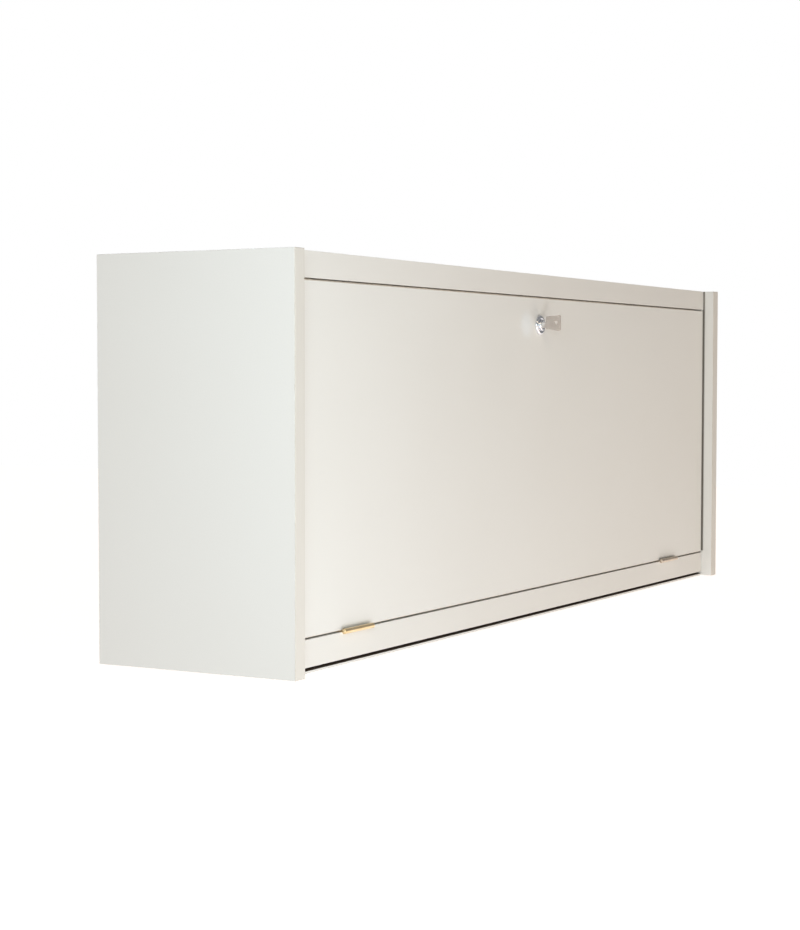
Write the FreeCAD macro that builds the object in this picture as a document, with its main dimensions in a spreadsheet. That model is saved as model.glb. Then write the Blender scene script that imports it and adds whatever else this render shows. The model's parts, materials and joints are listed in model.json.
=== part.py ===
import FreeCAD, Part
import os
import Sketcher

# Wall-hung secretary desk: a board cabinet whose whole front is one drop-down flap.
# The frame: +X to the right seen from the front, +Y towards the wall, +Z up. The origin lies on
# the back face, midway between the two wall screws.

NODES = []

doc = FreeCAD.newDocument("secretary_desk")

# ---------------------------------------------------------------- driving dimensions, millimetres

DIMENSIONS = {
    # cabinet
    "width": 1200,
    "height": 424,
    "depth": 240,
    "board": 18,
    "band": 0.8,
    "recess": 16,            # flap and rails lie this far behind the side panels' front edges
    "lintel_height": 27,     # top rail
    "sill_height": 34.5,     # top of the bottom rail above the underside
    "slot_height": 6,        # lower edge of the bottom rail above the underside
    "gap": 2,                # above and below the flap
    "side_gap": 3,           # left and right of the flap
    "back_sheet": 3.2,
    "rebate": 9,
    "bottom_sheet": 2.4,
    "bottom_setback": 1,
    "bottom_lap": 4,
    "hanger_height": 80,
    "hanger_hole_radius": 3,
    "hanger_hole_spacing": 1000,
    "hole_overrun": 1,
    # joinery
    "joint_inset": 34,
    "joint_pitch": 32,
    "dowel_radius": 4,
    "dowel_in_side": 12,
    "dowel_in_panel": 22,
    "thin_dowel_radius": 3,
    "thin_dowel_half": 12,
    "rail_dowel_spacing": 240,
    "hanger_dowel_rise": 22,
    "bolt_thread_radius": 2.5,
    "bolt_thread_length": 11,
    "bolt_shank_radius": 3,
    "bolt_shank_length": 24,
    "bolt_bore_radius": 4,
    "disc_radius": 7.5,
    "disc_depth": 12.5,
    "disc_slot": 1.6,
    "nail_radius": 0.8,
    "nail_length": 20,
    "nail_head_radius": 1.8,
    "nail_head_height": 0.8,
    "nail_end_margin": 50,   # first and last nail of the back panel's side rows
    "bottom_nail_rear": 25,
    "bottom_nail_front": 65,
    "screw_radius": 1.5,
    "screw_head_radius": 2.7,
    "screw_head_height": 0.95,
    "screw_tip": 3,
    # butt hinges
    "hinge_length": 60,
    "hinge_left_inset": 145,
    "hinge_right_inset": 162,
    "knuckle_offset": 3.5,   # hinge axis in front of the flap's face
    "knuckle_radius": 2.75,
    "knuckle_clearance": 0.1,
    "leaf_thickness": 0.95,
    "leaf_start": 3.1,
    "leaf_end": 19.5,
    "finger_start": 2,
    "pin_radius": 1.25,
    "pin_head_radius": 2.2,
    "pin_head_height": 0.8,
    "running_clearance": 0.05,
    "hinge_screw_pitch": 20,
    "hinge_screw_line": 12.5,
    "hinge_screw_length": 16,
    # cam lock
    "lock_drop": 33.5,       # lock axis below the flap's top edge
    "bezel_radius": 12.25,
    "bezel_height": 3,
    "bezel_inner": 8.4,
    "bezel_slope": 0.6,
    "bezel_round": 2.3,
    "collar_height": 1.9,
    "barrel_radius": 9.4,
    "barrel_length": 22,
    "barrel_bore": 9.5,
    "plug_radius": 7,
    "plug_height": 5,
    "plug_round": 1.3,
    "plug_rear": 22.2,
    "plug_square": 8,
    "keyway_width": 2.3,
    "keyway_height": 7.4,
    "keyway_depth": 17,
    "nut_radius": 13.9,
    "nut_height": 3.2,
    "cam_thickness": 2,
    "cam_reach": 40.5,
    "cam_half_width": 6,
    "cam_hub_radius": 8.5,
    "cam_screw_radius": 2,
    "cam_screw_length": 6,
    "cam_screw_head_radius": 4.2,
    "cam_screw_head_height": 2.2,
    "strike_width": 28,
    "strike_sheet": 1.2,
    "strike_gap": 2.4,
    "strike_drop": 8.5,
    "strike_reach": 24,
    "strike_screw_line": 14,
    "strike_screw_pitch": 16,
    "strike_screw_length": 12,
    # key
    "key_thickness": 2,
    "blade_half_height": 3.5,
    "blade_tip": 16,
    "bow_inner": 9,
    "bow_outer": 28.4,
    "bow_inner_low": 4.5,
    "bow_inner_high": 10.4,
    "bow_outer_low": 7.5,
    "bow_outer_high": 12.4,
    "bow_round": 1.8,
    "key_hole_radius": 2.25,
    "key_hole_front": 22.5,
    "key_hole_rise": 3,
    "ward_depth": 1.4,
    "ward_width": 1.8,
    "ward_pitch": 4,
    # flap stays
    "stay_radius": 112,      # both pivots lie this far from the hinge axis
    "stay_spread": 15,       # angle between them at the hinge axis, flap closed, in degrees
    "stay_standoff": 10,     # pivot behind the flap's inner face
    "stud_radius": 3,
    "stud_head_radius": 4.5,
    "stud_head_height": 1.2,
    "end_play": 0.3,
    "base_sheet": 2,
    "base_half_length": 18,
    "base_half_height": 11,
    "base_screw_half_pitch": 12.5,
    "base_screw_length": 14,
    "hub_start": 2.3,
    "hub_end": 6.3,
    "hub_radius": 8,
    "hub_pocket_radius": 4.8,
    "channel_end": 12.3,
    "channel_length": 16,
    "channel_height": 13,
    "channel_slot_start": 8,
    "channel_slot_width": 2.6,
    "channel_slot_height": 8.6,
    "arm_start": 8.3,
    "arm_thickness": 2,
    "arm_height": 8,
    "arm_reach": 190,
    "arm_eye_radius": 6,
    "arm_stop_length": 4,
    "arm_stop_side": 1.5,
    "arm_stop_height": 12,
    "ear_start": 10.9,
    "ear_sheet": 2,
    "ear_radius": 8,
    "bracket_width": 23,
    "bracket_half_height": 16,
    "bracket_screw_offset": 15,
    "bracket_screw_half_pitch": 10,
    "bracket_screw_length": 14,
    # flap stops
    "stop_width": 16,
    "stop_depth": 20,
    "stop_height": 20,
    "stop_drop": 5,
    "stop_screw_length": 26,
    "pad_radius": 6,
    "pad_thickness": 1.7,
    "pad_gap": 0.3,
}


def fill_sheet():
    """Every driving dimension as a plain number with an alias, so that features can be bound to it."""
    sheet = doc.addObject("Spreadsheet::Sheet", "dims")
    for row, (alias, value) in enumerate(DIMENSIONS.items(), start=1):
        sheet.set(f"A{row}", alias)
        sheet.set(f"B{row}", str(value))
        sheet.setAlias(f"B{row}", alias)
    doc.recompute()
    return sheet


SHEET = fill_sheet()

# ---------------------------------------------------------------- places, as expressions

INSIDE = "(dims.width / 2 - dims.board)"
INSIDE_WIDTH = "(dims.width - 2 * dims.board)"
FACE = "(dims.recess - dims.depth)"
BEHIND = "(dims.recess + dims.board - dims.depth)"
BACK = "(-dims.back_sheet)"
TOP = "(dims.board + dims.hanger_height / 2)"
BOTTOM = f"({TOP} - dims.height)"
CEILING = "(dims.hanger_height / 2)"
LINTEL = f"({TOP} - dims.lintel_height)"
SILL = f"({BOTTOM} + dims.sill_height)"
FLOOR_LOW = f"({SILL} - dims.board)"
RAIL_LOW = f"({BOTTOM} + dims.slot_height)"
TOP_MIDDLE = f"({TOP} - dims.board / 2)"
FLOOR_MIDDLE = f"({SILL} - dims.board / 2)"
BOTTOM_FRONT = f"({FACE} + dims.bottom_setback)"
BOTTOM_DEPTH = f"(-({BOTTOM_FRONT}))"
FLAP_LOW = f"({SILL} + dims.gap)"
FLAP_HIGH = f"({LINTEL} - dims.gap)"
HINGE_Y = f"({FACE} - dims.knuckle_offset)"
HINGE_Z = f"({SILL} + dims.gap / 2)"
LOCK_Z = f"({FLAP_HIGH} - dims.lock_drop)"
STAY_RISE = "(dims.board + dims.knuckle_offset + dims.stay_standoff)"
STAY_LENGTH = f"sqrt(dims.stay_radius ^ 2 - {STAY_RISE} ^ 2)"
FLAP_PIVOT_Y = f"({HINGE_Y} + {STAY_RISE})"
FLAP_PIVOT_Z = f"({HINGE_Z} + {STAY_LENGTH})"
SPREAD_COS = "cos(dims.stay_spread)"
SPREAD_SIN = "sin(dims.stay_spread)"
SIDE_PIVOT_Y = f"({HINGE_Y} + {STAY_RISE} * {SPREAD_COS} + {STAY_LENGTH} * {SPREAD_SIN})"
SIDE_PIVOT_Z = f"({HINGE_Z} + {STAY_LENGTH} * {SPREAD_COS} - {STAY_RISE} * {SPREAD_SIN})"
ARM_ANGLE = f"-(atan({STAY_RISE} / {STAY_LENGTH}) + dims.stay_spread * 1deg / 2)"

SIDES = (("left", -1), ("right", 1))
SIDE_NAILS = 5
PANEL_NAILS = 6
BOTTOM_NAILS = 4
KNUCKLES = 5
TOLERANCE = 0.01
X_AXIS = FreeCAD.Vector(1, 0, 0)
Y_AXIS = FreeCAD.Vector(0, 1, 0)
DIRECTIONS = {
    "+x": FreeCAD.Rotation(Y_AXIS, 90),
    "-x": FreeCAD.Rotation(Y_AXIS, -90),
    "+y": FreeCAD.Rotation(X_AXIS, -90),
    "-y": FreeCAD.Rotation(X_AXIS, 90),
    "+z": FreeCAD.Rotation(),
    "-z": FreeCAD.Rotation(X_AXIS, 180),
}

# ---------------------------------------------------------------- building helpers


def value_of(expression):
    """The present value of an expression of the sheet."""
    return float(SHEET.evalExpression(str(expression)))


def place(item, x, y, z):
    """Bind an object's position to the sheet."""
    for axis, expression in (("x", x), ("y", y), ("z", z)):
        item.setExpression(f"Placement.Base.{axis}", str(expression))
    return item


def bind(item, **sizes):
    """Bind an object's sizes to the sheet."""
    for name, expression in sizes.items():
        item.setExpression(name, str(expression))
    return item


def block(name, size, corner):
    """A box of the given size from its lowest corner."""
    item = doc.addObject("Part::Box", name)
    bind(item, Length=size[0], Width=size[1], Height=size[2])
    return place(item, *corner)


def rod(name, radius, length, start, direction):
    """A round bar from its start along one of the six directions."""
    item = doc.addObject("Part::Cylinder", name)
    bind(item, Radius=radius, Height=length)
    item.Placement.Rotation = DIRECTIONS[direction]
    return place(item, *start)


def taper(name, radius, end_radius, length, start, direction):
    """A cone from its start along one of the six directions."""
    item = doc.addObject("Part::Cone", name)
    bind(item, Radius1=radius, Radius2=end_radius, Height=length)
    item.Placement.Rotation = DIRECTIONS[direction]
    return place(item, *start)


def joined(name, pieces):
    """One solid from several."""
    item = doc.addObject("Part::MultiFuse", name)
    item.Shapes = pieces
    item.Refine = True
    return item


def gathered(name, pieces):
    """Several separate solids kept together."""
    item = doc.addObject("Part::Compound", name)
    item.Links = pieces
    return item


def carved(name, base, tools):
    """A solid with every tool taken out of it."""
    item = doc.addObject("Part::Cut", name)
    item.Base = base
    item.Tool = tools[0] if len(tools) == 1 else gathered(f"{name}_tools", tools)
    return item


def keep(item, node):
    """Mark a finished sub-part: its label is the name of its node."""
    item.Label = node
    NODES.append(item)
    return item


def along(start, direction, distance):
    """The point at a distance from the start along a direction."""
    point = list(start)
    index = "xyz".index(direction[1])
    point[index] = f"({start[index]} {direction[0]} {distance})"
    return tuple(point)


def inward(sign, near, thickness):
    """Lowest X of a slab that begins at a distance inside a side panel's inner face."""
    if sign < 0:
        return f"(-{INSIDE} + {near})"
    return f"({INSIDE} - {near} - {thickness})"


def into_cabinet(sign):
    """The direction away from a side panel, into the cabinet."""
    return "+x" if sign < 0 else "-x"


def into_side(sign):
    """The direction from the cabinet into a side panel."""
    return "-x" if sign < 0 else "+x"


def screw(name, head, direction, length):
    """A countersunk screw: its head's flat face lies at the given point."""
    neck = along(head, direction, "dims.screw_head_height")
    tip = along(head, direction, f"({length} - dims.screw_tip)")
    shank_length = f"({length} - dims.screw_head_height - dims.screw_tip)"
    return joined(name, [
        taper(f"{name}_head", "dims.screw_head_radius", "dims.screw_radius",
              "dims.screw_head_height", head, direction),
        rod(f"{name}_shank", "dims.screw_radius", shank_length, neck, direction),
        taper(f"{name}_tip", "dims.screw_radius", "dims.screw_radius / 5",
              "dims.screw_tip", tip, direction),
    ])


def nail(name, head, direction):
    """A sunk nail: its head's flat face lies at the given point."""
    return joined(name, [
        rod(f"{name}_head", "dims.nail_head_radius", "dims.nail_head_height", head, direction),
        rod(f"{name}_shank", "dims.nail_radius", "dims.nail_length", head, direction),
    ])


def origin_plane(body, role):
    """One of a body's own origin planes."""
    return next(item for item in body.Origin.OriginFeatures if item.Role == role)


def outline(body, name, plane, corners):
    """A closed outline of straight edges on a body's plane, with every corner bound to the sheet."""
    sketch = body.newObject("Sketcher::SketchObject", name)
    sketch.AttachmentSupport = [(origin_plane(body, plane), "")]
    sketch.MapMode = "FlatFace"
    points = [FreeCAD.Vector(value_of(across), value_of(up), 0) for across, up in corners]
    for start, end in zip(points, points[1:] + points[:1]):
        sketch.addGeometry(Part.LineSegment(start, end), False)
    for index in range(len(points)):
        follower = (index + 1) % len(points)
        sketch.addConstraint(Sketcher.Constraint("Coincident", index, 2, follower, 1))
    for index, corner in enumerate(corners):
        for kind, axis, expression in (("DistanceX", -2, corner[0]), ("DistanceY", -1, corner[1])):
            if expression == "0":
                sketch.addConstraint(Sketcher.Constraint("PointOnObject", index, 1, axis))
                continue
            rule = Sketcher.Constraint(kind, -1, 1, index, 1, value_of(expression))
            sketch.setExpression(f"Constraints[{sketch.addConstraint(rule)}]", expression)
    return sketch


def turned_body(name, corners):
    """A body turned about its own Y axis from an outline of (place along Y, radius) corners."""
    body = doc.addObject("PartDesign::Body", name)
    sketch = outline(body, f"{name}_profile", "YZ_Plane", corners)
    turn = body.newObject("PartDesign::Revolution", f"{name}_turn")
    turn.Profile = sketch
    turn.ReferenceAxis = (sketch, ["H_Axis"])
    turn.Angle = 360
    doc.recompute()
    return body


def plate_body(name, corners, thickness):
    """A body padded to both sides of its own YZ plane from an outline of (Y, Z) corners."""
    body = doc.addObject("PartDesign::Body", name)
    pad = body.newObject("PartDesign::Pad", f"{name}_pad")
    pad.Profile = outline(body, f"{name}_profile", "YZ_Plane", corners)
    pad.Midplane = True
    bind(pad, Length=thickness)
    body.Tip = pad
    doc.recompute()
    return body


def round_edges(body, radius, wanted):
    """Round those edges of a body's last feature that the test picks."""
    base = body.Tip
    names = [f"Edge{number}" for number, edge in enumerate(base.Shape.Edges, start=1) if wanted(edge)]
    fillet = body.newObject("PartDesign::Fillet", f"{body.Name}_round")
    fillet.Base = (base, names)
    bind(fillet, Radius=radius)
    body.Tip = fillet
    doc.recompute()
    return body


# ---------------------------------------------------------------- joinery, shared by the boards

SCREWS = {}


def add_screws(node, heads, direction, length):
    """A group of like screws, one node. The boards they enter are carved with the same group."""
    pieces = [screw(f"{node}_{index}", head, direction, length) for index, head in enumerate(heads)]
    SCREWS.setdefault(node, []).extend(pieces)


def corner_rows():
    """The heights of the top and floor panels' middles."""
    return (("top", TOP_MIDDLE), ("floor", FLOOR_MIDDLE))


def make_dowels():
    """Dowels between the panels, the hanging rail and the side panels."""
    dowels = []
    length = "(dims.dowel_in_side + dims.dowel_in_panel)"
    hanger_middle = f"({BACK} - dims.board / 2)"
    for side, sign in SIDES:
        start_x = f"({sign} * ({INSIDE} + dims.dowel_in_side))"
        reach = "(dims.joint_inset + dims.joint_pitch)"
        for row, height in corner_rows():
            for end, depth in (("front", f"({BEHIND} + {reach})"), ("rear", f"({BACK} - {reach})")):
                dowels.append(rod(f"dowel_{side}_{row}_{end}", "dims.dowel_radius", length,
                                  (start_x, depth, height), into_cabinet(sign)))
        for end, rise in (("low", "(-dims.hanger_dowel_rise)"), ("high", "dims.hanger_dowel_rise")):
            dowels.append(rod(f"dowel_{side}_hanger_{end}", "dims.dowel_radius", length,
                              (start_x, hanger_middle, rise), into_cabinet(sign)))
    return keep(gathered("corner_dowels", dowels), "corner_dowels")


def make_rail_dowels():
    """Thin dowels from the two rails into the side panels and the panels behind them."""
    dowels = []
    middle = f"({FACE} + dims.board / 2)"
    start_y = f"({BEHIND} - dims.thin_dowel_half)"
    for row, height in corner_rows():
        for side, sign in SIDES:
            start_x = f"({sign} * ({INSIDE} + dims.thin_dowel_half))"
            dowels.append(rod(f"thin_dowel_{side}_{row}", "dims.thin_dowel_radius",
                              "2 * dims.thin_dowel_half", (start_x, middle, height), into_cabinet(sign)))
        for step in (-2, -1, 0, 1, 2):
            dowels.append(rod(f"thin_dowel_{row}_{step + 2}", "dims.thin_dowel_radius",
                              "2 * dims.thin_dowel_half",
                              (f"({step} * dims.rail_dowel_spacing)", start_y, height), "+y"))
    return keep(gathered("rail_dowels", dowels), "rail_dowels")


def make_connectors():
    """Bolts in the side panels and the turning discs that draw the panels onto them."""
    bolts = []
    discs = []
    bores = []
    for side, sign in SIDES:
        for row, height in corner_rows():
            underside = CEILING if row == "top" else FLOOR_LOW
            for end, depth in (("front", f"({BEHIND} + dims.joint_inset)"),
                               ("rear", f"({BACK} - dims.joint_inset)")):
                name = f"{side}_{row}_{end}"
                start = (f"({sign} * {INSIDE})", depth, height)
                thread = rod(f"thread_{name}", "dims.bolt_thread_radius", "dims.bolt_thread_length",
                             start, into_side(sign))
                shank = rod(f"shank_{name}", "dims.bolt_shank_radius", "dims.bolt_shank_length",
                            start, into_cabinet(sign))
                bolts.append(joined(f"bolt_{name}", [thread, shank]))
                centre = (f"({sign} * ({INSIDE} - dims.bolt_shank_length))", depth, underside)
                slot = block(f"slot_{name}", ("2 * dims.disc_radius", "dims.disc_slot", "dims.disc_slot"),
                             (f"({centre[0]} - dims.disc_radius)",
                              f"({depth} - dims.disc_slot / 2)", underside))
                pocket = rod(f"pocket_{name}", "dims.bolt_bore_radius", "dims.bolt_shank_length",
                             start, into_cabinet(sign))
                whole = rod(f"disc_blank_{name}", "dims.disc_radius", "dims.disc_depth", centre, "+z")
                discs.append(carved(f"disc_{name}", whole, [slot, pocket]))
                bores.append(pocket)
                bores.append(whole)
    keep(gathered("connector_bolts", bolts), "connector_bolts")
    keep(gathered("connector_discs", discs), "connector_discs")
    return bolts, bores


def make_back_nails():
    """Nails through the back panel into the side, top and floor panels."""
    nails = []
    middle = "(dims.board - dims.rebate / 2)"
    pitch = f"((dims.height - 2 * dims.nail_end_margin) / {SIDE_NAILS - 1})"
    for side, sign in SIDES:
        across = f"({sign} * (dims.width / 2 - {middle}))"
        for step in range(SIDE_NAILS):
            height = f"({BOTTOM} + dims.nail_end_margin + {step} * {pitch})"
            nails.append(nail(f"back_nail_{side}_{step}", (across, "0", height), "-y"))
    for row, height in (("top", f"({TOP} - {middle})"), ("floor", FLOOR_MIDDLE)):
        for step in range(PANEL_NAILS):
            across = f"(({step} - ({PANEL_NAILS} - 1) / 2) * {INSIDE_WIDTH} / {PANEL_NAILS})"
            nails.append(nail(f"back_nail_{row}_{step}", (across, "0", height), "-y"))
    return keep(gathered("back_panel_nails", nails), "back_panel_nails")


def make_bottom_nails():
    """Nails up through the bottom board's lapped edges into the side panels."""
    nails = []
    run = "(dims.depth - dims.bottom_nail_rear - dims.bottom_nail_front)"
    for side, sign in SIDES:
        across = f"({sign} * ({INSIDE} + dims.bottom_lap / 2))"
        for step in range(BOTTOM_NAILS):
            depth = f"({BACK} - dims.bottom_nail_rear - {step} * {run} / {BOTTOM_NAILS - 1})"
            nails.append(nail(f"bottom_nail_{side}_{step}", (across, depth, BOTTOM), "+z"))
    return keep(gathered("bottom_board_nails", nails), "bottom_board_nails")


# ---------------------------------------------------------------- screws, placed before the boards

def hinge_centres():
    """The middles of the two hinges."""
    return (("left", "(dims.hinge_left_inset - dims.width / 2)"),
            ("right", "(dims.width / 2 - dims.hinge_right_inset)"))


def place_screws():
    """Every screw head's place, node by node."""
    line = f"({HINGE_Y} + dims.hinge_screw_line)"
    frame_heads = []
    flap_heads = []
    for _, centre in hinge_centres():
        for step in (-1, 0, 1):
            across = f"({centre} + {step} * dims.hinge_screw_pitch)"
            frame_heads.append((across, line, f"({SILL} + dims.leaf_thickness)"))
            flap_heads.append((across, line, f"({FLAP_LOW} - dims.leaf_thickness)"))
    add_screws("hinge_frame_screws", frame_heads, "-z", "dims.hinge_screw_length")
    add_screws("hinge_flap_screws", flap_heads, "+z", "dims.hinge_screw_length")

    strike_line = f"({BEHIND} + dims.strike_screw_line)"
    strike_heads = [(f"({sign} * dims.strike_screw_pitch / 2)", strike_line,
                     f"({CEILING} - dims.strike_sheet)") for _, sign in SIDES]
    add_screws("strike_screws", strike_heads, "+z", "dims.strike_screw_length")

    for side, sign in SIDES:
        base_x = f"({sign} * ({INSIDE} - dims.base_sheet))"
        base_heads = [(base_x, f"({SIDE_PIVOT_Y} + {end} * dims.base_screw_half_pitch)", SIDE_PIVOT_Z)
                      for end in (-1, 1)]
        add_screws("stay_base_screws", base_heads, into_side(sign), "dims.base_screw_length")

        bracket_x = f"({sign} * ({INSIDE} - dims.ear_start - dims.bracket_screw_offset))"
        bracket_heads = [(bracket_x, f"({BEHIND} + dims.ear_sheet)",
                          f"({FLAP_PIVOT_Z} + {end} * dims.bracket_screw_half_pitch)") for end in (-1, 1)]
        add_screws("stay_bracket_screws", bracket_heads, "-y", "dims.bracket_screw_length")

        stop_head = (f"({sign} * ({INSIDE} - dims.stop_width))",
                     f"({BEHIND} + dims.pad_gap + dims.pad_thickness + dims.stop_depth / 2)",
                     f"({FLAP_HIGH} - dims.stop_drop - dims.stop_height / 2)")
        add_screws("stop_block_screws", [stop_head], into_side(sign), "dims.stop_screw_length")
    for node, pieces in SCREWS.items():
        keep(gathered(node, pieces), node)


# ---------------------------------------------------------------- boards

def make_side_panels(dowels, thin_dowels, bolts, nails, bottom_nails):
    """The two side panels and the bands on their front edges."""
    for side, sign in SIDES:
        low = "(-dims.width / 2)" if sign < 0 else INSIDE
        panel = block(f"side_{side}_blank", ("dims.board", "dims.depth - dims.band", "dims.height"),
                      (low, "(dims.band - dims.depth)", BOTTOM))
        rebate = block(f"side_{side}_rebate",
                       ("dims.rebate", "dims.back_sheet", "dims.height - dims.rebate"),
                       (inward(sign, "(-dims.rebate)", "dims.rebate"), BACK, BOTTOM))
        lap = block(f"side_{side}_lap", ("dims.bottom_lap", BOTTOM_DEPTH, "dims.bottom_sheet"),
                    (inward(sign, "(-dims.bottom_lap)", "dims.bottom_lap"), BOTTOM_FRONT, BOTTOM))
        tools = [rebate, lap, dowels, thin_dowels, nails, bottom_nails] + bolts
        tools += SCREWS["stay_base_screws"] + SCREWS["stop_block_screws"]
        keep(carved(f"side_panel_{side}", panel, tools), f"side_panel_{side}")
        band = block(f"side_edge_band_{side}", ("dims.board", "dims.band", "dims.height"),
                     (low, "(-dims.depth)", BOTTOM))
        keep(band, f"side_edge_band_{side}")


def make_panels(dowels, thin_dowels, bores, nails):
    """Top panel with a rebate for the back panel, and floor panel."""
    reach = f"(-({BEHIND}))"
    top = block("top_blank", (INSIDE_WIDTH, reach, "dims.board"), (f"(-{INSIDE})", BEHIND, CEILING))
    rebate = block("top_rebate", (INSIDE_WIDTH, "dims.back_sheet", "dims.rebate"),
                   (f"(-{INSIDE})", BACK, CEILING))
    keep(carved("top_panel", top, [rebate, dowels, thin_dowels, nails] + bores + SCREWS["strike_screws"]),
         "top_panel")
    floor = block("floor_blank", (INSIDE_WIDTH, f"({reach} - dims.back_sheet)", "dims.board"),
                  (f"(-{INSIDE})", BEHIND, FLOOR_LOW))
    keep(carved("floor_panel", floor, [dowels, thin_dowels, nails] + bores), "floor_panel")


def make_rails(thin_dowels):
    """The fixed strips above and below the flap."""
    top = block("top_rail_blank", (INSIDE_WIDTH, "dims.board", "dims.lintel_height"),
                (f"(-{INSIDE})", FACE, LINTEL))
    keep(carved("top_rail", top, [thin_dowels]), "top_rail")
    bottom = block("bottom_rail_blank", (INSIDE_WIDTH, "dims.board", "dims.sill_height - dims.slot_height"),
                   (f"(-{INSIDE})", FACE, RAIL_LOW))
    keep(carved("bottom_rail", bottom, [thin_dowels] + SCREWS["hinge_frame_screws"]), "bottom_rail")


def make_thin_sheets(nails, bottom_nails):
    """Back panel and bottom board."""
    lap = "(dims.board - dims.rebate)"
    holes = hanger_holes("back")
    back = block("back_blank",
                 (f"(dims.width - 2 * {lap})", "dims.back_sheet", "dims.height - dims.rebate"),
                 (f"({lap} - dims.width / 2)", BACK, BOTTOM))
    keep(carved("back_panel", back, holes + [nails]), "back_panel")
    bottom = block("bottom_blank",
                   (f"({INSIDE_WIDTH} + 2 * dims.bottom_lap)", f"({BOTTOM_DEPTH} - dims.back_sheet)",
                    "dims.bottom_sheet"), (f"(-{INSIDE} - dims.bottom_lap)", BOTTOM_FRONT, BOTTOM))
    keep(carved("bottom_board", bottom, [bottom_nails]), "bottom_board")


def hanger_holes(name):
    """The two holes for the wall screws."""
    reach = "(dims.back_sheet + dims.board + 2 * dims.hole_overrun)"
    return [rod(f"{name}_hole_{side}", "dims.hanger_hole_radius", reach,
                (f"({sign} * dims.hanger_hole_spacing / 2)", "dims.hole_overrun", "0"), "-y")
            for side, sign in SIDES]


def make_hanging_rail(dowels):
    """The rail inside the cabinet's top rear that takes the wall screws."""
    rail = block("hanger_blank", (INSIDE_WIDTH, "dims.board", "dims.hanger_height"),
                 (f"(-{INSIDE})", f"({BACK} - dims.board)", "(-dims.hanger_height / 2)"))
    keep(carved("hanging_rail", rail, hanger_holes("hanger") + [dowels]), "hanging_rail")


def make_flap():
    """The flap and the edging on its four edges."""
    half = f"({INSIDE} - dims.side_gap)"
    height = f"({FLAP_HIGH} - {FLAP_LOW})"
    core = block("flap_blank",
                 (f"(2 * {half} - 2 * dims.band)", "dims.board", f"({height} - 2 * dims.band)"),
                 (f"(dims.band - {half})", FACE, f"({FLAP_LOW} + dims.band)"))
    bore = rod("flap_bore", "dims.barrel_bore", "dims.board", ("0", FACE, LOCK_Z), "+y")
    keep(carved("flap_panel", core, [bore] + SCREWS["hinge_flap_screws"] + SCREWS["stay_bracket_screws"]),
         "flap_panel")
    long_strip = (f"(2 * {half})", "dims.board", "dims.band")
    short_strip = ("dims.band", "dims.board", f"({height} - 2 * dims.band)")
    strips = [
        block("edging_high", long_strip, (f"(-{half})", FACE, f"({FLAP_HIGH} - dims.band)")),
        carved("edging_low", block("edging_low_blank", long_strip, (f"(-{half})", FACE, FLAP_LOW)),
               SCREWS["hinge_flap_screws"]),
        block("edging_left", short_strip, (f"(-{half})", FACE, f"({FLAP_LOW} + dims.band)")),
        block("edging_right", short_strip, (f"({half} - dims.band)", FACE, f"({FLAP_LOW} + dims.band)")),
    ]
    keep(gathered("flap_edging", strips), "flap_edging")


# ---------------------------------------------------------------- hinges

def make_leaf(side, centre, role):
    """One leaf with its knuckles. The frame leaf holds the pin, the flap leaf turns on it."""
    on_frame = role == "frame"
    low = SILL if on_frame else f"({FLAP_LOW} - dims.leaf_thickness)"
    bore = "dims.pin_radius" if on_frame else "(dims.pin_radius + dims.running_clearance)"
    shrink = "0" if on_frame else "dims.knuckle_clearance"
    left = f"({centre} - dims.hinge_length / 2)"
    pitch = f"(dims.hinge_length / {KNUCKLES})"
    name = f"{role}_leaf_{side}"
    pieces = [block(f"{name}_sheet",
                    ("dims.hinge_length", "dims.leaf_end - dims.leaf_start", "dims.leaf_thickness"),
                    (left, f"({HINGE_Y} + dims.leaf_start)", low))]
    for index in range(0 if on_frame else 1, KNUCKLES, 2):
        start = f"({left} + {index} * {pitch} + {shrink})"
        length = f"({pitch} - 2 * {shrink})"
        pieces.append(rod(f"{name}_knuckle_{index}", "dims.knuckle_radius", length,
                          (start, HINGE_Y, HINGE_Z), "+x"))
        pieces.append(block(f"{name}_finger_{index}",
                            (length, "dims.leaf_start - dims.finger_start", "dims.leaf_thickness"),
                            (start, f"({HINGE_Y} + dims.finger_start)", low)))
    tools = [rod(f"{name}_bore", bore, "dims.hinge_length", (left, HINGE_Y, HINGE_Z), "+x")]
    tools += SCREWS[f"hinge_{role}_screws"]
    keep(carved(f"hinge_{name}", joined(f"{name}_blank", pieces), tools), f"hinge_{name}")


def make_hinges():
    """Two butt hinges whose knuckles stand in front of the lower gap."""
    for side, centre in hinge_centres():
        make_leaf(side, centre, "frame")
        make_leaf(side, centre, "flap")
        left = f"({centre} - dims.hinge_length / 2)"
        right = f"({centre} + dims.hinge_length / 2)"
        pin = joined(f"hinge_pin_{side}", [
            rod(f"pin_{side}_shaft", "dims.pin_radius", "dims.hinge_length",
                (left, HINGE_Y, HINGE_Z), "+x"),
            rod(f"pin_{side}_head_left", "dims.pin_head_radius", "dims.pin_head_height",
                (left, HINGE_Y, HINGE_Z), "-x"),
            rod(f"pin_{side}_head_right", "dims.pin_head_radius", "dims.pin_head_height",
                (right, HINGE_Y, HINGE_Z), "+x"),
        ])
        keep(pin, f"hinge_pin_{side}")


# ---------------------------------------------------------------- lock and key
# These bodies are drawn about their own Y axis, with Y = 0 on the flap's face.

def seat_in_flap(item):
    """Put a body that is drawn about the lock's axis in its place."""
    return place(item, "0", FACE, LOCK_Z)


def ring_at(radius, depth):
    """A test for the circular edge of a given radius at a given place along Y."""
    def wanted(edge):
        curve = edge.Curve
        if not isinstance(curve, Part.Circle):
            return False
        right_size = abs(curve.Radius - value_of(radius)) < TOLERANCE
        return right_size and abs(curve.Center.y - value_of(depth)) < TOLERANCE
    return wanted


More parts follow.
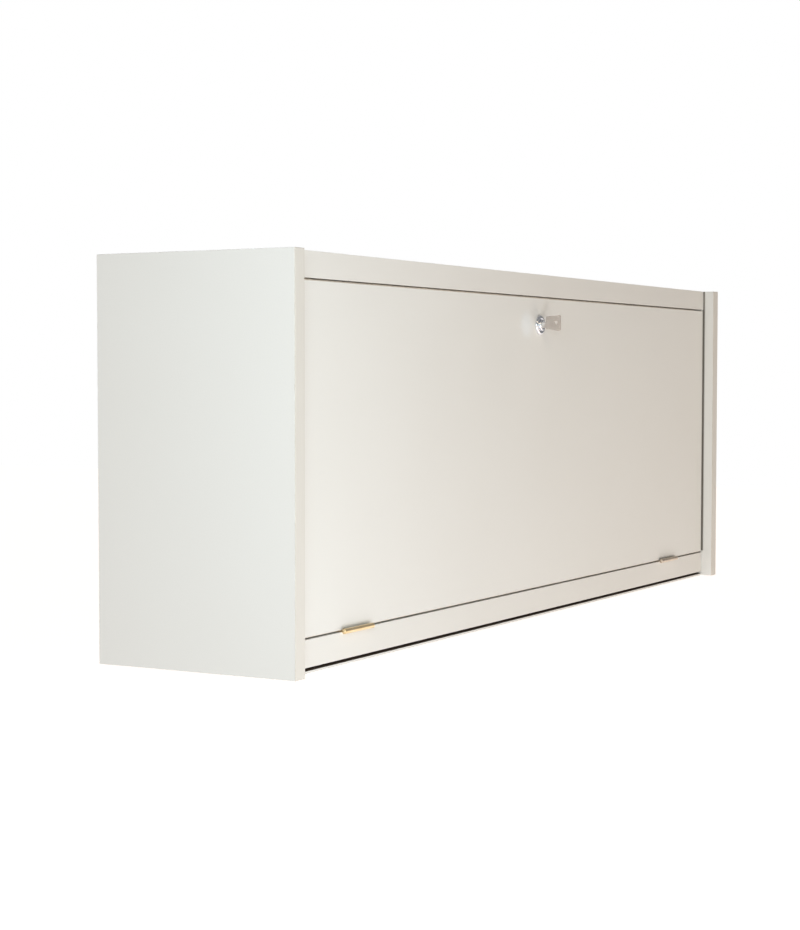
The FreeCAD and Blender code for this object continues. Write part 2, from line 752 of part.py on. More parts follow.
def make_housing():
    """Chromed rosette and barrel in one piece, with the nut on the inner side."""
    bore = "(dims.plug_radius + dims.running_clearance)"
    housing = turned_body("housing", [
        ("dims.barrel_length", bore),
        ("dims.barrel_length", "dims.barrel_radius"),
        ("0", "dims.barrel_radius"),
        ("0", "dims.bezel_radius"),
        ("(-dims.bezel_height)", "dims.bezel_radius"),
        ("(-dims.bezel_height)", "dims.bezel_inner"),
        ("(-dims.collar_height)", "(dims.bezel_inner - dims.bezel_slope)"),
        ("(-dims.collar_height)", bore),
    ])
    round_edges(housing, "dims.bezel_round", ring_at("dims.bezel_radius", "(-dims.bezel_height)"))
    keep(seat_in_flap(housing), "lock_housing")

    nut_start = ("0", BEHIND, LOCK_Z)
    nut = doc.addObject("Part::Prism", "nut_blank")
    nut.Polygon = 6
    bind(nut, Circumradius="dims.nut_radius", Height="dims.nut_height")
    nut.Placement.Rotation = DIRECTIONS["+y"]
    place(nut, *nut_start)
    bore = rod("nut_bore", "dims.barrel_radius", "dims.nut_height", nut_start, "+y")
    keep(carved("lock_nut", nut, [bore]), "lock_nut")


def make_plug():
    """The turning core: a keyway in front, a square for the cam behind."""
    core = turned_body("plug_core", [
        ("(-dims.plug_height)", "0"),
        ("(-dims.plug_height)", "dims.plug_radius"),
        ("dims.plug_rear", "dims.plug_radius"),
        ("dims.plug_rear", "0"),
    ])
    round_edges(core, "dims.plug_round", ring_at("dims.plug_radius", "(-dims.plug_height)"))
    square = block("plug_square", ("dims.plug_square", "dims.cam_thickness", "dims.plug_square"),
                   ("(-dims.plug_square / 2)", "dims.plug_rear", "(-dims.plug_square / 2)"))
    keyway = block("keyway",
                   ("dims.keyway_width", "dims.plug_height + dims.keyway_depth", "dims.keyway_height"),
                   ("(-dims.keyway_width / 2)", "(-dims.plug_height)", "(-dims.keyway_height / 2)"))
    screw_bore = rod("plug_screw_bore", "dims.cam_screw_radius", "dims.cam_screw_length",
                     ("0", "(dims.plug_rear + dims.cam_thickness)", "0"), "-y")
    plug = carved("lock_plug", joined("plug_blank", [core, square]), [keyway, screw_bore])
    keep(seat_in_flap(plug), "lock_plug")


def make_cam():
    """The arm behind the flap that swings up behind the strike plate, and its screw."""
    start = "dims.plug_rear"
    hub = rod("cam_hub", "dims.cam_hub_radius", "dims.cam_thickness", ("0", start, "0"), "+y")
    end_x = "(dims.cam_half_width - dims.cam_reach)"
    tip = rod("cam_tip", "dims.cam_half_width", "dims.cam_thickness", (end_x, start, "0"), "+y")
    bar = block("cam_bar",
                ("dims.cam_reach - dims.cam_half_width", "dims.cam_thickness", "2 * dims.cam_half_width"),
                (end_x, start, "(-dims.cam_half_width)"))
    hole = block("cam_hole", ("dims.plug_square", "dims.cam_thickness", "dims.plug_square"),
                 ("(-dims.plug_square / 2)", start, "(-dims.plug_square / 2)"))
    cam = carved("lock_cam", joined("cam_blank", [hub, tip, bar]), [hole])
    keep(seat_in_flap(cam), "lock_cam")

    seat = "(dims.plug_rear + dims.cam_thickness)"
    head = rod("cam_screw_head", "dims.cam_screw_head_radius", "dims.cam_screw_head_height",
               ("0", seat, "0"), "+y")
    shank = rod("cam_screw_shank", "dims.cam_screw_radius", "dims.cam_screw_length",
                ("0", seat, "0"), "-y")
    keep(seat_in_flap(joined("lock_cam_screw", [head, shank])), "lock_cam_screw")


def make_key():
    """A flat key: a bow that widens outwards, a stem and a blade with three wards."""
    bow = plate_body("key_bow", [
        ("(-dims.bow_inner)", "(-dims.bow_inner_low)"),
        ("(-dims.bow_inner)", "dims.bow_inner_high"),
        ("(-dims.bow_outer)", "dims.bow_outer_high"),
        ("(-dims.bow_outer)", "(-dims.bow_outer_low)"),
    ], "dims.key_thickness")

    def outer_corner(edge):
        first, last = edge.Vertexes[0].Point, edge.Vertexes[-1].Point
        across_sheet = abs(first.x - last.x) > value_of("dims.key_thickness / 2")
        return across_sheet and first.y < value_of("-dims.bow_outer") + TOLERANCE

    round_edges(bow, "dims.bow_round", outer_corner)
    blade = block("key_blade",
                  ("dims.key_thickness", "dims.bow_inner + dims.blade_tip", "2 * dims.blade_half_height"),
                  ("(-dims.key_thickness / 2)", "(-dims.bow_inner)", "(-dims.blade_half_height)"))
    hole = rod("key_hole", "dims.key_hole_radius", "2 * dims.key_thickness",
               ("(-dims.key_thickness)", "(-dims.key_hole_front)", "dims.key_hole_rise"), "+x")
    wards = [block(f"ward_{step}", ("2 * dims.key_thickness", "dims.ward_width", "dims.ward_depth"),
                   ("(-dims.key_thickness)", f"({step} * dims.ward_pitch)", "(-dims.blade_half_height)"))
             for step in range(3)]
    key = carved("key", joined("key_blank", [bow, blade]), [hole] + wards)
    keep(seat_in_flap(key), "key")


def make_strike():
    """The angle plate under the top panel that the cam swings behind."""
    strike = plate_body("strike", [
        ("dims.strike_gap", "0"),
        ("dims.strike_gap", "(-dims.strike_drop)"),
        ("(dims.strike_gap + dims.strike_sheet)", "(-dims.strike_drop)"),
        ("(dims.strike_gap + dims.strike_sheet)", "(-dims.strike_sheet)"),
        ("dims.strike_reach", "(-dims.strike_sheet)"),
        ("dims.strike_reach", "0"),
    ], "dims.strike_width")
    place(strike, "0", BEHIND, CEILING)
    keep(carved("strike_plate", strike, SCREWS["strike_screws"]), "strike_plate")


# ---------------------------------------------------------------- flap stays
# The arm pivots on the flap and slides through a guide that swivels on the side panel. The guide
# and the arm are drawn about their own pivots, with X = 0 on the side panel's inner face.

def slab_start(sign, near, thickness):
    """Lowest X of a slab drawn from a side panel's inner face, on either side of the cabinet."""
    return near if sign < 0 else f"(-({near}) - {thickness})"


def make_stay_base(side, sign):
    """Base plate on the side panel with the stud that the guide swivels on."""
    sheet = block(f"base_{side}_sheet",
                  ("dims.base_sheet", "2 * dims.base_half_length", "2 * dims.base_half_height"),
                  (inward(sign, "0", "dims.base_sheet"), f"({SIDE_PIVOT_Y} - dims.base_half_length)",
                   f"({SIDE_PIVOT_Z} - dims.base_half_height)"))
    foot = (f"({sign} * {INSIDE})", SIDE_PIVOT_Y, SIDE_PIVOT_Z)
    outward = into_cabinet(sign)
    stud = rod(f"base_{side}_stud", "dims.stud_radius", "dims.hub_end - dims.end_play", foot, outward)
    head_start = along(foot, outward, "(dims.hub_end - dims.end_play - dims.stud_head_height)")
    head = rod(f"base_{side}_head", "dims.stud_head_radius", "dims.stud_head_height", head_start, outward)
    blank = joined(f"base_{side}_blank", [sheet, stud, head])
    keep(carved(f"stay_base_{side}", blank, SCREWS["stay_base_screws"]), f"stay_base_{side}")


def make_stay_guide(side, sign):
    """Swivel guide: a hub on the stud and a channel that the arm slides through."""
    outward = into_cabinet(sign)
    centre = ("0", "0", "0")
    hub = rod(f"guide_{side}_hub", "dims.hub_radius", "dims.hub_end - dims.hub_start",
              along(centre, outward, "dims.hub_start"), outward)
    depth = "(dims.channel_end - dims.hub_end)"
    channel = block(f"guide_{side}_channel", (depth, "dims.channel_length", "dims.channel_height"),
                    (slab_start(sign, "dims.hub_end", depth), "(-dims.channel_length / 2)",
                     "(-dims.channel_height / 2)"))
    slot = block(f"guide_{side}_slot",
                 ("dims.channel_slot_width", "dims.channel_length", "dims.channel_slot_height"),
                 (slab_start(sign, "dims.channel_slot_start", "dims.channel_slot_width"),
                  "(-dims.channel_length / 2)", "(-dims.channel_slot_height / 2)"))
    bore = rod(f"guide_{side}_bore", "dims.stud_radius + dims.running_clearance", "dims.hub_end",
               centre, outward)
    pocket_depth = "(dims.stud_head_height + 2 * dims.end_play)"
    pocket = rod(f"guide_{side}_pocket", "dims.hub_pocket_radius", pocket_depth,
                 along(centre, outward, f"(dims.hub_end - {pocket_depth})"), outward)
    blank = joined(f"guide_{side}_blank", [hub, channel])
    guide = carved(f"stay_guide_{side}", blank, [slot, bore, pocket])
    guide.Placement.Rotation = FreeCAD.Rotation(X_AXIS, -1)
    guide.setExpression("Placement.Rotation.Angle", ARM_ANGLE)
    place(guide, f"({sign} * {INSIDE})", SIDE_PIVOT_Y, SIDE_PIVOT_Z)
    keep(guide, f"stay_guide_{side}")


def make_stay_arm(side, sign):
    """Flat arm: an eye on the flap's stud, and a stop at its far end."""
    outward = into_cabinet(sign)
    centre = ("0", "0", "0")
    bar = block(f"arm_{side}_bar", ("dims.arm_thickness", "dims.arm_reach", "dims.arm_height"),
                (slab_start(sign, "dims.arm_start", "dims.arm_thickness"), "0", "(-dims.arm_height / 2)"))
    eye = rod(f"arm_{side}_eye", "dims.arm_eye_radius", "dims.arm_thickness",
              along(centre, outward, "dims.arm_start"), outward)
    stop_width = "(dims.arm_thickness + 2 * dims.arm_stop_side)"
    stop = block(f"arm_{side}_stop", (stop_width, "dims.arm_stop_length", "dims.arm_stop_height"),
                 (slab_start(sign, "(dims.arm_start - dims.arm_stop_side)", stop_width),
                  "(dims.arm_reach - dims.arm_stop_length)", "(-dims.arm_stop_height / 2)"))
    bore = rod(f"arm_{side}_bore", "dims.stud_radius + dims.running_clearance", "dims.channel_end",
               centre, outward)
    arm = carved(f"stay_arm_{side}", joined(f"arm_{side}_blank", [bar, eye, stop]), [bore])
    arm.Placement.Rotation = FreeCAD.Rotation(X_AXIS, -1)
    arm.setExpression("Placement.Rotation.Angle", ARM_ANGLE)
    place(arm, f"({sign} * {INSIDE})", FLAP_PIVOT_Y, FLAP_PIVOT_Z)
    keep(arm, f"stay_arm_{side}")


def make_stay_bracket(side, sign):
    """Bracket on the flap: a screwed foot, an ear and the stud that carries the arm's eye."""
    foot = block(f"bracket_{side}_foot",
                 ("dims.bracket_width", "dims.ear_sheet", "2 * dims.bracket_half_height"),
                 (inward(sign, "dims.ear_start", "dims.bracket_width"), BEHIND,
                  f"({FLAP_PIVOT_Z} - dims.bracket_half_height)"))
    web = block(f"bracket_{side}_web", ("dims.ear_sheet", "dims.stay_standoff", "2 * dims.ear_radius"),
                (inward(sign, "dims.ear_start", "dims.ear_sheet"), BEHIND,
                 f"({FLAP_PIVOT_Z} - dims.ear_radius)"))
    inner = into_cabinet(sign)
    wall = (f"({sign} * {INSIDE})", FLAP_PIVOT_Y, FLAP_PIVOT_Z)
    ear = rod(f"bracket_{side}_ear", "dims.ear_radius", "dims.ear_sheet",
              along(wall, inner, "dims.ear_start"), inner)
    head_near = "(dims.arm_start - dims.end_play - dims.stud_head_height)"
    head = rod(f"bracket_{side}_head", "dims.stud_head_radius", "dims.stud_head_height",
               along(wall, inner, head_near), inner)
    stud = rod(f"bracket_{side}_stud", "dims.stud_radius", f"(dims.ear_start - {head_near})",
               along(wall, inner, head_near), inner)
    blank = joined(f"bracket_{side}_blank", [foot, web, ear, head, stud])
    keep(carved(f"stay_bracket_{side}", blank, SCREWS["stay_bracket_screws"]), f"stay_bracket_{side}")


# ---------------------------------------------------------------- flap stops

def make_stops():
    """A block on each side panel with a rubber pad that the closed flap rests on."""
    pads = []
    low = f"({FLAP_HIGH} - dims.stop_drop - dims.stop_height)"
    front = f"({BEHIND} + dims.pad_gap + dims.pad_thickness)"
    for side, sign in SIDES:
        blank = block(f"stop_{side}_blank", ("dims.stop_width", "dims.stop_depth", "dims.stop_height"),
                      (inward(sign, "0", "dims.stop_width"), front, low))
        keep(carved(f"stop_block_{side}", blank, SCREWS["stop_block_screws"]), f"stop_block_{side}")
        pads.append(rod(f"pad_{side}", "dims.pad_radius", "dims.pad_thickness",
                        (f"({sign} * ({INSIDE} - dims.stop_width / 2))", front,
                         f"({low} + dims.stop_height / 2)"), "-y"))
    keep(gathered("bumper_pads", pads), "bumper_pads")


# ---------------------------------------------------------------- the whole desk

def make_desk():
    place_screws()
    dowels = make_dowels()
    thin_dowels = make_rail_dowels()
    bolts, bores = make_connectors()
    nails = make_back_nails()
    bottom_nails = make_bottom_nails()
    make_side_panels(dowels, thin_dowels, bolts, nails, bottom_nails)
    make_panels(dowels, thin_dowels, bores, nails)
    make_rails(thin_dowels)
    make_thin_sheets(nails, bottom_nails)
    make_hanging_rail(dowels)
    make_flap()
    make_hinges()
    make_housing()
    make_plug()
    make_cam()
    make_key()
    make_strike()
    for side, sign in SIDES:
        make_stay_base(side, sign)
        make_stay_guide(side, sign)
        make_stay_arm(side, sign)
        make_stay_bracket(side, sign)
    make_stops()
    doc.recompute()


def check_document():
    """Stop if any object failed or any sub-part has no sound shape."""
    for item in doc.Objects:
        if "Invalid" in item.State or "Error" in item.State:
            raise RuntimeError(f"{item.Name} did not compute: {item.State}")
    for item in NODES:
        if item.Shape.isNull() or not item.Shape.isValid() or not item.Shape.Solids:
            raise RuntimeError(f"{item.Label} has no sound shape")


def write_parts():
    """One STEP file for each sub-part, named after its node."""
    os.makedirs("parts", exist_ok=True)
    for item in NODES:
        item.Shape.exportStep(os.path.join("parts", f"{item.Label}.step"))
        print(f"{item.Label}: {len(item.Shape.Solids)} solid(s), {item.Shape.Volume / 1000:.2f} cm3")


make_desk()
check_document()
write_parts()
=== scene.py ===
import json
import math

import bmesh
import bpy
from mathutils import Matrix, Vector

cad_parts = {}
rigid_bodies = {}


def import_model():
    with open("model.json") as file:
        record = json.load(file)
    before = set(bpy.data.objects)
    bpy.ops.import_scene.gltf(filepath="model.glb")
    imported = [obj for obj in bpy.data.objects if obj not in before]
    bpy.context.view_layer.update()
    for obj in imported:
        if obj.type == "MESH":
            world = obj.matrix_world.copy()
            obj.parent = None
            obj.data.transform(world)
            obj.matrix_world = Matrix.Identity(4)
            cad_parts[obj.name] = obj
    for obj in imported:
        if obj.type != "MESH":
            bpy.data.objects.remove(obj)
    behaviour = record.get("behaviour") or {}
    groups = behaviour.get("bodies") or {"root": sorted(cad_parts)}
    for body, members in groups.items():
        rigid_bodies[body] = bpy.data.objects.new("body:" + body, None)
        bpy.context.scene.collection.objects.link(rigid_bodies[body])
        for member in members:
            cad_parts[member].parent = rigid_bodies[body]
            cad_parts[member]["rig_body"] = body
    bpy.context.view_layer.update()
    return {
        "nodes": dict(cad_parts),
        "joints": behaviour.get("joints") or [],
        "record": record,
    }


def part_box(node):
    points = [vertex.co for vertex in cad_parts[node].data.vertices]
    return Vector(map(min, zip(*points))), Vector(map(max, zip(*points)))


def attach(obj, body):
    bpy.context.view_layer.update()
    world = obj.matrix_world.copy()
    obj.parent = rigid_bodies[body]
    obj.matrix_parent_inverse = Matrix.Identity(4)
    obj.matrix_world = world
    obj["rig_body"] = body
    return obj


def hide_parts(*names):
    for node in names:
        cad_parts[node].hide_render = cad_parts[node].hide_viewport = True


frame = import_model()

# A wall-hung white desk box with a drop-down front. Metres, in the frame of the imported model:
# +X to the right seen from the front, +Y towards the wall, +Z up.

MM = 0.001
WELD = 0.002 * MM          # corners closer than this are one corner
FLAT = math.radians(0.2)   # faces that meet at less than this are one flat face
SHARP = math.radians(28)   # faces that meet at more than this have an edge between them
ALONG = 0.9                # a face points along an axis when its normal has this much of it

# ---------------------------------------------------------------- materials


def start_surface(name):
    """A material with an empty principled surface. Its textures are laid out in metres of the frame."""
    material = bpy.data.materials.new(name)
    material.use_nodes = True
    tree = material.node_tree
    tree.nodes.clear()
    output = tree.nodes.new("ShaderNodeOutputMaterial")
    surface = tree.nodes.new("ShaderNodeBsdfPrincipled")
    tree.links.new(surface.outputs["BSDF"], output.inputs["Surface"])
    return material, tree, surface


def noise(tree, waves, stretch=(1, 1, 1), detail=3, roughness=0.55):
    """A noise of so many waves to the metre, drawn out along an axis where stretch is under 1."""
    place = tree.nodes.new("ShaderNodeTexCoord")
    mapping = tree.nodes.new("ShaderNodeMapping")
    mapping.inputs["Scale"].default_value = stretch
    texture = tree.nodes.new("ShaderNodeTexNoise")
    texture.inputs["Scale"].default_value = waves
    texture.inputs["Detail"].default_value = detail
    texture.inputs["Roughness"].default_value = roughness
    tree.links.new(place.outputs["Object"], mapping.inputs["Vector"])
    tree.links.new(mapping.outputs["Vector"], texture.inputs["Vector"])
    return texture.outputs["Fac"]


def speckle(tree, cells, stretch=(1, 1, 1)):
    """Round cells of so many to the metre: 0 in a cell's middle."""
    place = tree.nodes.new("ShaderNodeTexCoord")
    mapping = tree.nodes.new("ShaderNodeMapping")
    mapping.inputs["Scale"].default_value = stretch
    texture = tree.nodes.new("ShaderNodeTexVoronoi")
    texture.inputs["Scale"].default_value = cells
    tree.links.new(place.outputs["Object"], mapping.inputs["Vector"])
    tree.links.new(mapping.outputs["Vector"], texture.inputs["Vector"])
    return texture.outputs["Distance"]


def spread(tree, value, low, high, start=0.3, end=0.7):
    """A value that runs from start to end, stretched to run from low to high."""
    node = tree.nodes.new("ShaderNodeMapRange")
    node.inputs["From Min"].default_value = start
    node.inputs["From Max"].default_value = end
    node.inputs["To Min"].default_value = low
    node.inputs["To Max"].default_value = high
    tree.links.new(value, node.inputs["Value"])
    return node.outputs["Result"]


def blended(tree, value, first, second):
    """A colour between two, each a colour or a socket, by a value from 0 to 1."""
    node = tree.nodes.new("ShaderNodeMix")
    node.data_type = "RGBA"
    tree.links.new(value, node.inputs["Factor"])
    for socket, colour in (("A", first), ("B", second)):
        target = next(item for item in node.inputs if item.name == socket and item.type == "RGBA")
        if isinstance(colour, tuple):
            target.default_value = (*colour, 1)
        else:
            tree.links.new(colour, target)
    return next(item for item in node.outputs if item.type == "RGBA")


def darker(colour, share):
    """A colour with only a share of its light."""
    return tuple(channel * share for channel in colour)


def raise_surface(tree, surface, *heights):
    """Bump from several (value, depth in metres) pairs, one on top of the other."""
    normal = None
    for value, depth in heights:
        bump = tree.nodes.new("ShaderNodeBump")
        bump.inputs["Strength"].default_value = 1
        bump.inputs["Distance"].default_value = depth
        tree.links.new(value, bump.inputs["Height"])
        if normal is not None:
            tree.links.new(normal, bump.inputs["Normal"])
        normal = bump.outputs["Normal"]
    tree.links.new(normal, surface.inputs["Normal"])


def maths(tree, operation, first, second=None):
    """One sum on sockets or numbers."""
    node = tree.nodes.new("ShaderNodeMath")
    node.operation = operation
    for index, value in enumerate((first, second)):
        if isinstance(value, (int, float)):
            node.inputs[index].default_value = value
        elif value is not None:
            tree.links.new(value, node.inputs[index])
    return node.outputs["Value"]


def gap_shade_mask(tree, place, width, inner, low):
    """A mask of painted shade on the inner faces of the side panels, along the gap at the flap's edge:
    1 at a depth in the frame, fading over a width, and nothing below a height."""
    where = tree.nodes.new("ShaderNodeTexCoord")
    parts = tree.nodes.new("ShaderNodeSeparateXYZ")
    tree.links.new(where.outputs["Object"], parts.inputs["Vector"])
    distance = maths(tree, "ABSOLUTE", maths(tree, "SUBTRACT", parts.outputs["Y"], place))
    solid_part = 0.35
    near = spread(tree, distance, 1, 0, start=width * solid_part, end=width)
    inside = maths(tree, "LESS_THAN", maths(tree, "ABSOLUTE", parts.outputs["X"]), inner)
    above = maths(tree, "GREATER_THAN", parts.outputs["Z"], low)
    return maths(tree, "MULTIPLY", maths(tree, "MULTIPLY", near, inside), above)


def board_surface(name, light, dark, gloss, worn=0.0, gap_shading=None):
    """White melamine facing: an even satin with a fine pearl texture, faint clouds and rub marks.
    A board can take a dark line of painted shade on its inner face, along the gap at the flap's edge, given
    as the last four values of the mask of that shade."""
    material, tree, surface = start_surface(name)
    clouds = spread(tree, noise(tree, waves=2.2, detail=2), 0, 1)
    pearl = spread(tree, noise(tree, waves=750, detail=2), 0, 1, start=0.25, end=0.75)
    ground = blended(tree, clouds, light, dark)
    pearl_share = 0.35 + 2 * worn
    colour = blended(tree, spread(tree, pearl, 0, pearl_share, start=0, end=1), ground,
                     darker(dark, 0.955 - worn))
    # painted shade: a dark line that stands in for the shadow in the gap between the flap and the side panel
    if gap_shading is not None:
        colour = blended(tree, gap_shade_mask(tree, *gap_shading), colour, GAP_SHADE_COLOUR)
    tree.links.new(colour, surface.inputs["Base Color"])
    rubs = noise(tree, waves=34, stretch=(0.35, 1, 0.9), detail=5, roughness=0.7)
    tree.links.new(spread(tree, rubs, gloss - 0.05, gloss + 0.08, start=0.35, end=0.65),
                   surface.inputs["Roughness"])
    surface.inputs["IOR"].default_value = 1.47
    raise_surface(tree, surface, (noise(tree, waves=1100, detail=2), 0.012 * MM),
                  (noise(tree, waves=60, detail=2), 0.03 * MM))
    return material


def band_surface(name, light, dark):
    """White plastic edge band: a little duller than the boards, with drawn lines along its length."""
    material, tree, surface = start_surface(name)
    lines = noise(tree, waves=900, stretch=(1, 1, 0.02), detail=2)
    tone = blended(tree, spread(tree, noise(tree, waves=9, detail=2), 0, 1), light, dark)
    tree.links.new(blended(tree, spread(tree, lines, 0, 0.5), tone, darker(dark, 0.95)),
                   surface.inputs["Base Color"])
    tree.links.new(spread(tree, noise(tree, waves=55, detail=4), 0.38, 0.5), surface.inputs["Roughness"])
    raise_surface(tree, surface, (lines, 0.02 * MM))
    return material


def chipboard_surface():
    """Raw cut edge of the boards: pressed chips in a fine dark binder."""
    dark_chip, light_chip, binder = (0.42, 0.29, 0.165), (0.62, 0.47, 0.30), (0.20, 0.125, 0.065)
    material, tree, surface = start_surface("raw_chipboard")
    chips = speckle(tree, cells=420, stretch=(0.55, 1, 1))
    tone = blended(tree, spread(tree, noise(tree, waves=700, stretch=(0.3, 1, 1), detail=4), 0, 1),
                   dark_chip, light_chip)
    tree.links.new(blended(tree, spread(tree, chips, 0, 0.75, start=0.25, end=0.75), tone, binder),
                   surface.inputs["Base Color"])
    tree.links.new(spread(tree, chips, 0.75, 0.95, start=0, end=1), surface.inputs["Roughness"])
    raise_surface(tree, surface, (chips, 0.25 * MM), (noise(tree, waves=1500, detail=3), 0.08 * MM))
    return material


def raw_hardboard_surface(name, light, dark):
    """Unpainted hardboard: felted brown fibre with the print of the press screen."""
    material, tree, surface = start_surface(name)
    fibre = noise(tree, waves=320, stretch=(1, 0.35, 1), detail=6, roughness=0.75)
    clouds = spread(tree, noise(tree, waves=7, detail=3), 0, 1)
    tone = blended(tree, clouds, light, dark)
    tree.links.new(blended(tree, spread(tree, fibre, 0, 0.8, start=0.35, end=0.7), tone, darker(dark, 0.62)),
                   surface.inputs["Base Color"])
    tree.links.new(spread(tree, fibre, 0.72, 0.92, start=0, end=1), surface.inputs["Roughness"])
    raise_surface(tree, surface, (fibre, 0.12 * MM), (speckle(tree, cells=520), 0.10 * MM))
    return material


def metal_surface(name, light, dark, smooth, rough, scratches=260, depth=0.004 * MM, stretch=(1, 1, 1)):
    """Plated or bare metal: slight tarnish in clouds, so many hair scratches to the metre, and a shine
    that varies between a smooth and a rough value."""
    material, tree, surface = start_surface(name)
    surface.inputs["Metallic"].default_value = 1
    clouds = spread(tree, noise(tree, waves=90, detail=4, roughness=0.65), 0, 1, start=0.3, end=0.72)
    marks = noise(tree, scratches, stretch, detail=5, roughness=0.75)
    tree.links.new(blended(tree, clouds, light, dark), surface.inputs["Base Color"])
    tree.links.new(spread(tree, marks, smooth, rough, start=0.35, end=0.68), surface.inputs["Roughness"])
    raise_surface(tree, surface, (marks, depth))
    return material


def beech_surface():
    """Raw beech: short dark flecks along the grain."""
    wood, fleck = (0.60, 0.42, 0.25), (0.42, 0.26, 0.14)
    material, tree, surface = start_surface("raw_beech")
    grain = noise(tree, waves=420, stretch=(0.12, 1, 1), detail=4)
    tree.links.new(blended(tree, spread(tree, grain, 0, 1), wood, fleck), surface.inputs["Base Color"])
    tree.links.new(spread(tree, grain, 0.5, 0.7), surface.inputs["Roughness"])
    raise_surface(tree, surface, (grain, 0.05 * MM))
    return material


def rubber_surface():
    """Soft dark rubber with a dusty bloom."""
    black, dusted = (0.030, 0.028, 0.026), (0.075, 0.072, 0.068)
    material, tree, surface = start_surface("pad_rubber")
    bloom = noise(tree, waves=380, detail=5, roughness=0.7)
    tree.links.new(blended(tree, spread(tree, bloom, 0, 1), black, dusted), surface.inputs["Base Color"])
    tree.links.new(spread(tree, bloom, 0.62, 0.85), surface.inputs["Roughness"])
    raise_surface(tree, surface, (noise(tree, waves=1300, detail=2), 0.05 * MM))
    return material


def floor_surface():
    """White studio floor that gives off light of its own, with a hardly visible cloudiness."""
    light, dark = (0.37, 0.37, 0.37), (0.34, 0.34, 0.34)
    material, tree, surface = start_surface("studio_floor")
    clouds = spread(tree, noise(tree, waves=1.5, detail=3), 0, 1)
    tree.links.new(blended(tree, clouds, light, dark), surface.inputs["Base Color"])
    surface.inputs["Roughness"].default_value = 0.85
    surface.inputs["Emission Color"].default_value = (1, 0.925, 0.875, 1)
    surface.inputs["Emission Strength"].default_value = 1.1
    return material


WHITE = (0.800, 0.790, 0.768)
SHADED_WHITE = (0.770, 0.757, 0.730)
# colour, depth and width of the painted shade that darkens the side panels' inner faces along the gap by the
# flap's edge
GAP_SHADE_COLOUR = (0.155, 0.140, 0.120)
SATIN = 0.42               # roughness of the boards
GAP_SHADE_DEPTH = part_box("flap_panel")[0].y - 0.6 * MM
GAP_SHADE_WIDTH = 2.4 * MM
SIDE_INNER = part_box("side_panel_right")[0].x + 0.1 * MM
FLAP_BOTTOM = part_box("flap_panel")[0].z
MELAMINE = board_surface("white_melamine_board", WHITE, SHADED_WHITE, SATIN)
# the side panels' white carries that line of painted shade
SIDE_WHITE = board_surface("white_melamine_side", WHITE, SHADED_WHITE, SATIN,
                           gap_shading=(GAP_SHADE_DEPTH, GAP_SHADE_WIDTH, SIDE_INNER, FLAP_BOTTOM))
MELAMINE_CORNER = board_surface("white_melamine_corner", WHITE, SHADED_WHITE, gloss=0.50, worn=0.06)
RAIL_WHITE = board_surface("white_melamine_rail", light=(0.780, 0.765, 0.740), dark=(0.752, 0.735, 0.706),
                           gloss=SATIN)
PAINTED_HARDBOARD = board_surface("painted_hardboard", light=(0.76, 0.75, 0.73),
                                  dark=(0.72, 0.705, 0.68), gloss=0.5)
BAND = band_surface("white_edge_band", light=(0.708, 0.679, 0.638), dark=(0.679, 0.649, 0.606))
BAND_CORNER = band_surface("white_edge_band_corner", light=(0.70, 0.66, 0.61), dark=(0.63, 0.58, 0.52))
CHIPBOARD = chipboard_surface()
RAW_HARDBOARD = raw_hardboard_surface("raw_hardboard", light=(0.30, 0.185, 0.095),
                                      dark=(0.21, 0.125, 0.062))
# raw hardboard darkened to near black: the real brown of the bottom board's top face, with painted shade
# added for the dark slot under the bottom rail
SHADE_DARKENED_HARDBOARD = raw_hardboard_surface("raw_hardboard_painted_shade", light=(0.095, 0.055, 0.036),
                                       dark=(0.060, 0.035, 0.022))
BRASS = metal_surface("polished_brass", light=(0.87, 0.70, 0.45), dark=(0.79, 0.60, 0.34),
                      smooth=0.30, rough=0.42)
BRASS_WORN = metal_surface("brass_worn_edge", light=(0.88, 0.72, 0.46), dark=(0.80, 0.62, 0.36),
                           smooth=0.24, rough=0.36)
# painted shade: a darker, duller copy of the same brass, for the right hinge, which gets less light
SHADE_PAINTED_BRASS = metal_surface("brass_painted_shade", light=(0.66, 0.56, 0.46), dark=(0.56, 0.47, 0.38),
                                smooth=0.40, rough=0.55)
CHROME = metal_surface("polished_chrome", light=(0.80, 0.81, 0.84), dark=(0.70, 0.71, 0.75),
                       smooth=0.05, rough=0.14)
NICKEL = metal_surface("dull_nickel", light=(0.60, 0.53, 0.48), dark=(0.52, 0.46, 0.42),
                       smooth=0.42, rough=0.62, scratches=700, depth=0.01 * MM, stretch=(1, 0.1, 1))
ZINC = metal_surface("zinc_plate", light=(0.66, 0.68, 0.71), dark=(0.57, 0.59, 0.63),
                     smooth=0.24, rough=0.40, scratches=420)
ZINC_WORN = metal_surface("zinc_worn_edge", light=(0.78, 0.79, 0.82), dark=(0.66, 0.68, 0.71),
                          smooth=0.16, rough=0.32, scratches=420)
BEECH = beech_surface()
RUBBER = rubber_surface()

# ---------------------------------------------------------------- mesh building


def keep(name, shape, materials, body, replaced):
    """Turn a bmesh into a piece that rides on a body and stands for CAD nodes."""
    for edge in shape.edges:
        edge.smooth = edge.is_manifold and edge.calc_face_angle() < SHARP
    for face in shape.faces:
        face.smooth = True
    mesh = bpy.data.meshes.new(name)
    shape.to_mesh(mesh)
    shape.free()
    for material in materials:
        mesh.materials.append(material)
    piece = bpy.data.objects.new(name, mesh)
    bpy.context.scene.collection.objects.link(piece)
    normals = piece.modifiers.new("even_normals", "WEIGHTED_NORMAL")
    normals.keep_sharp = True
    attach(piece, body)
    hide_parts(*replaced)


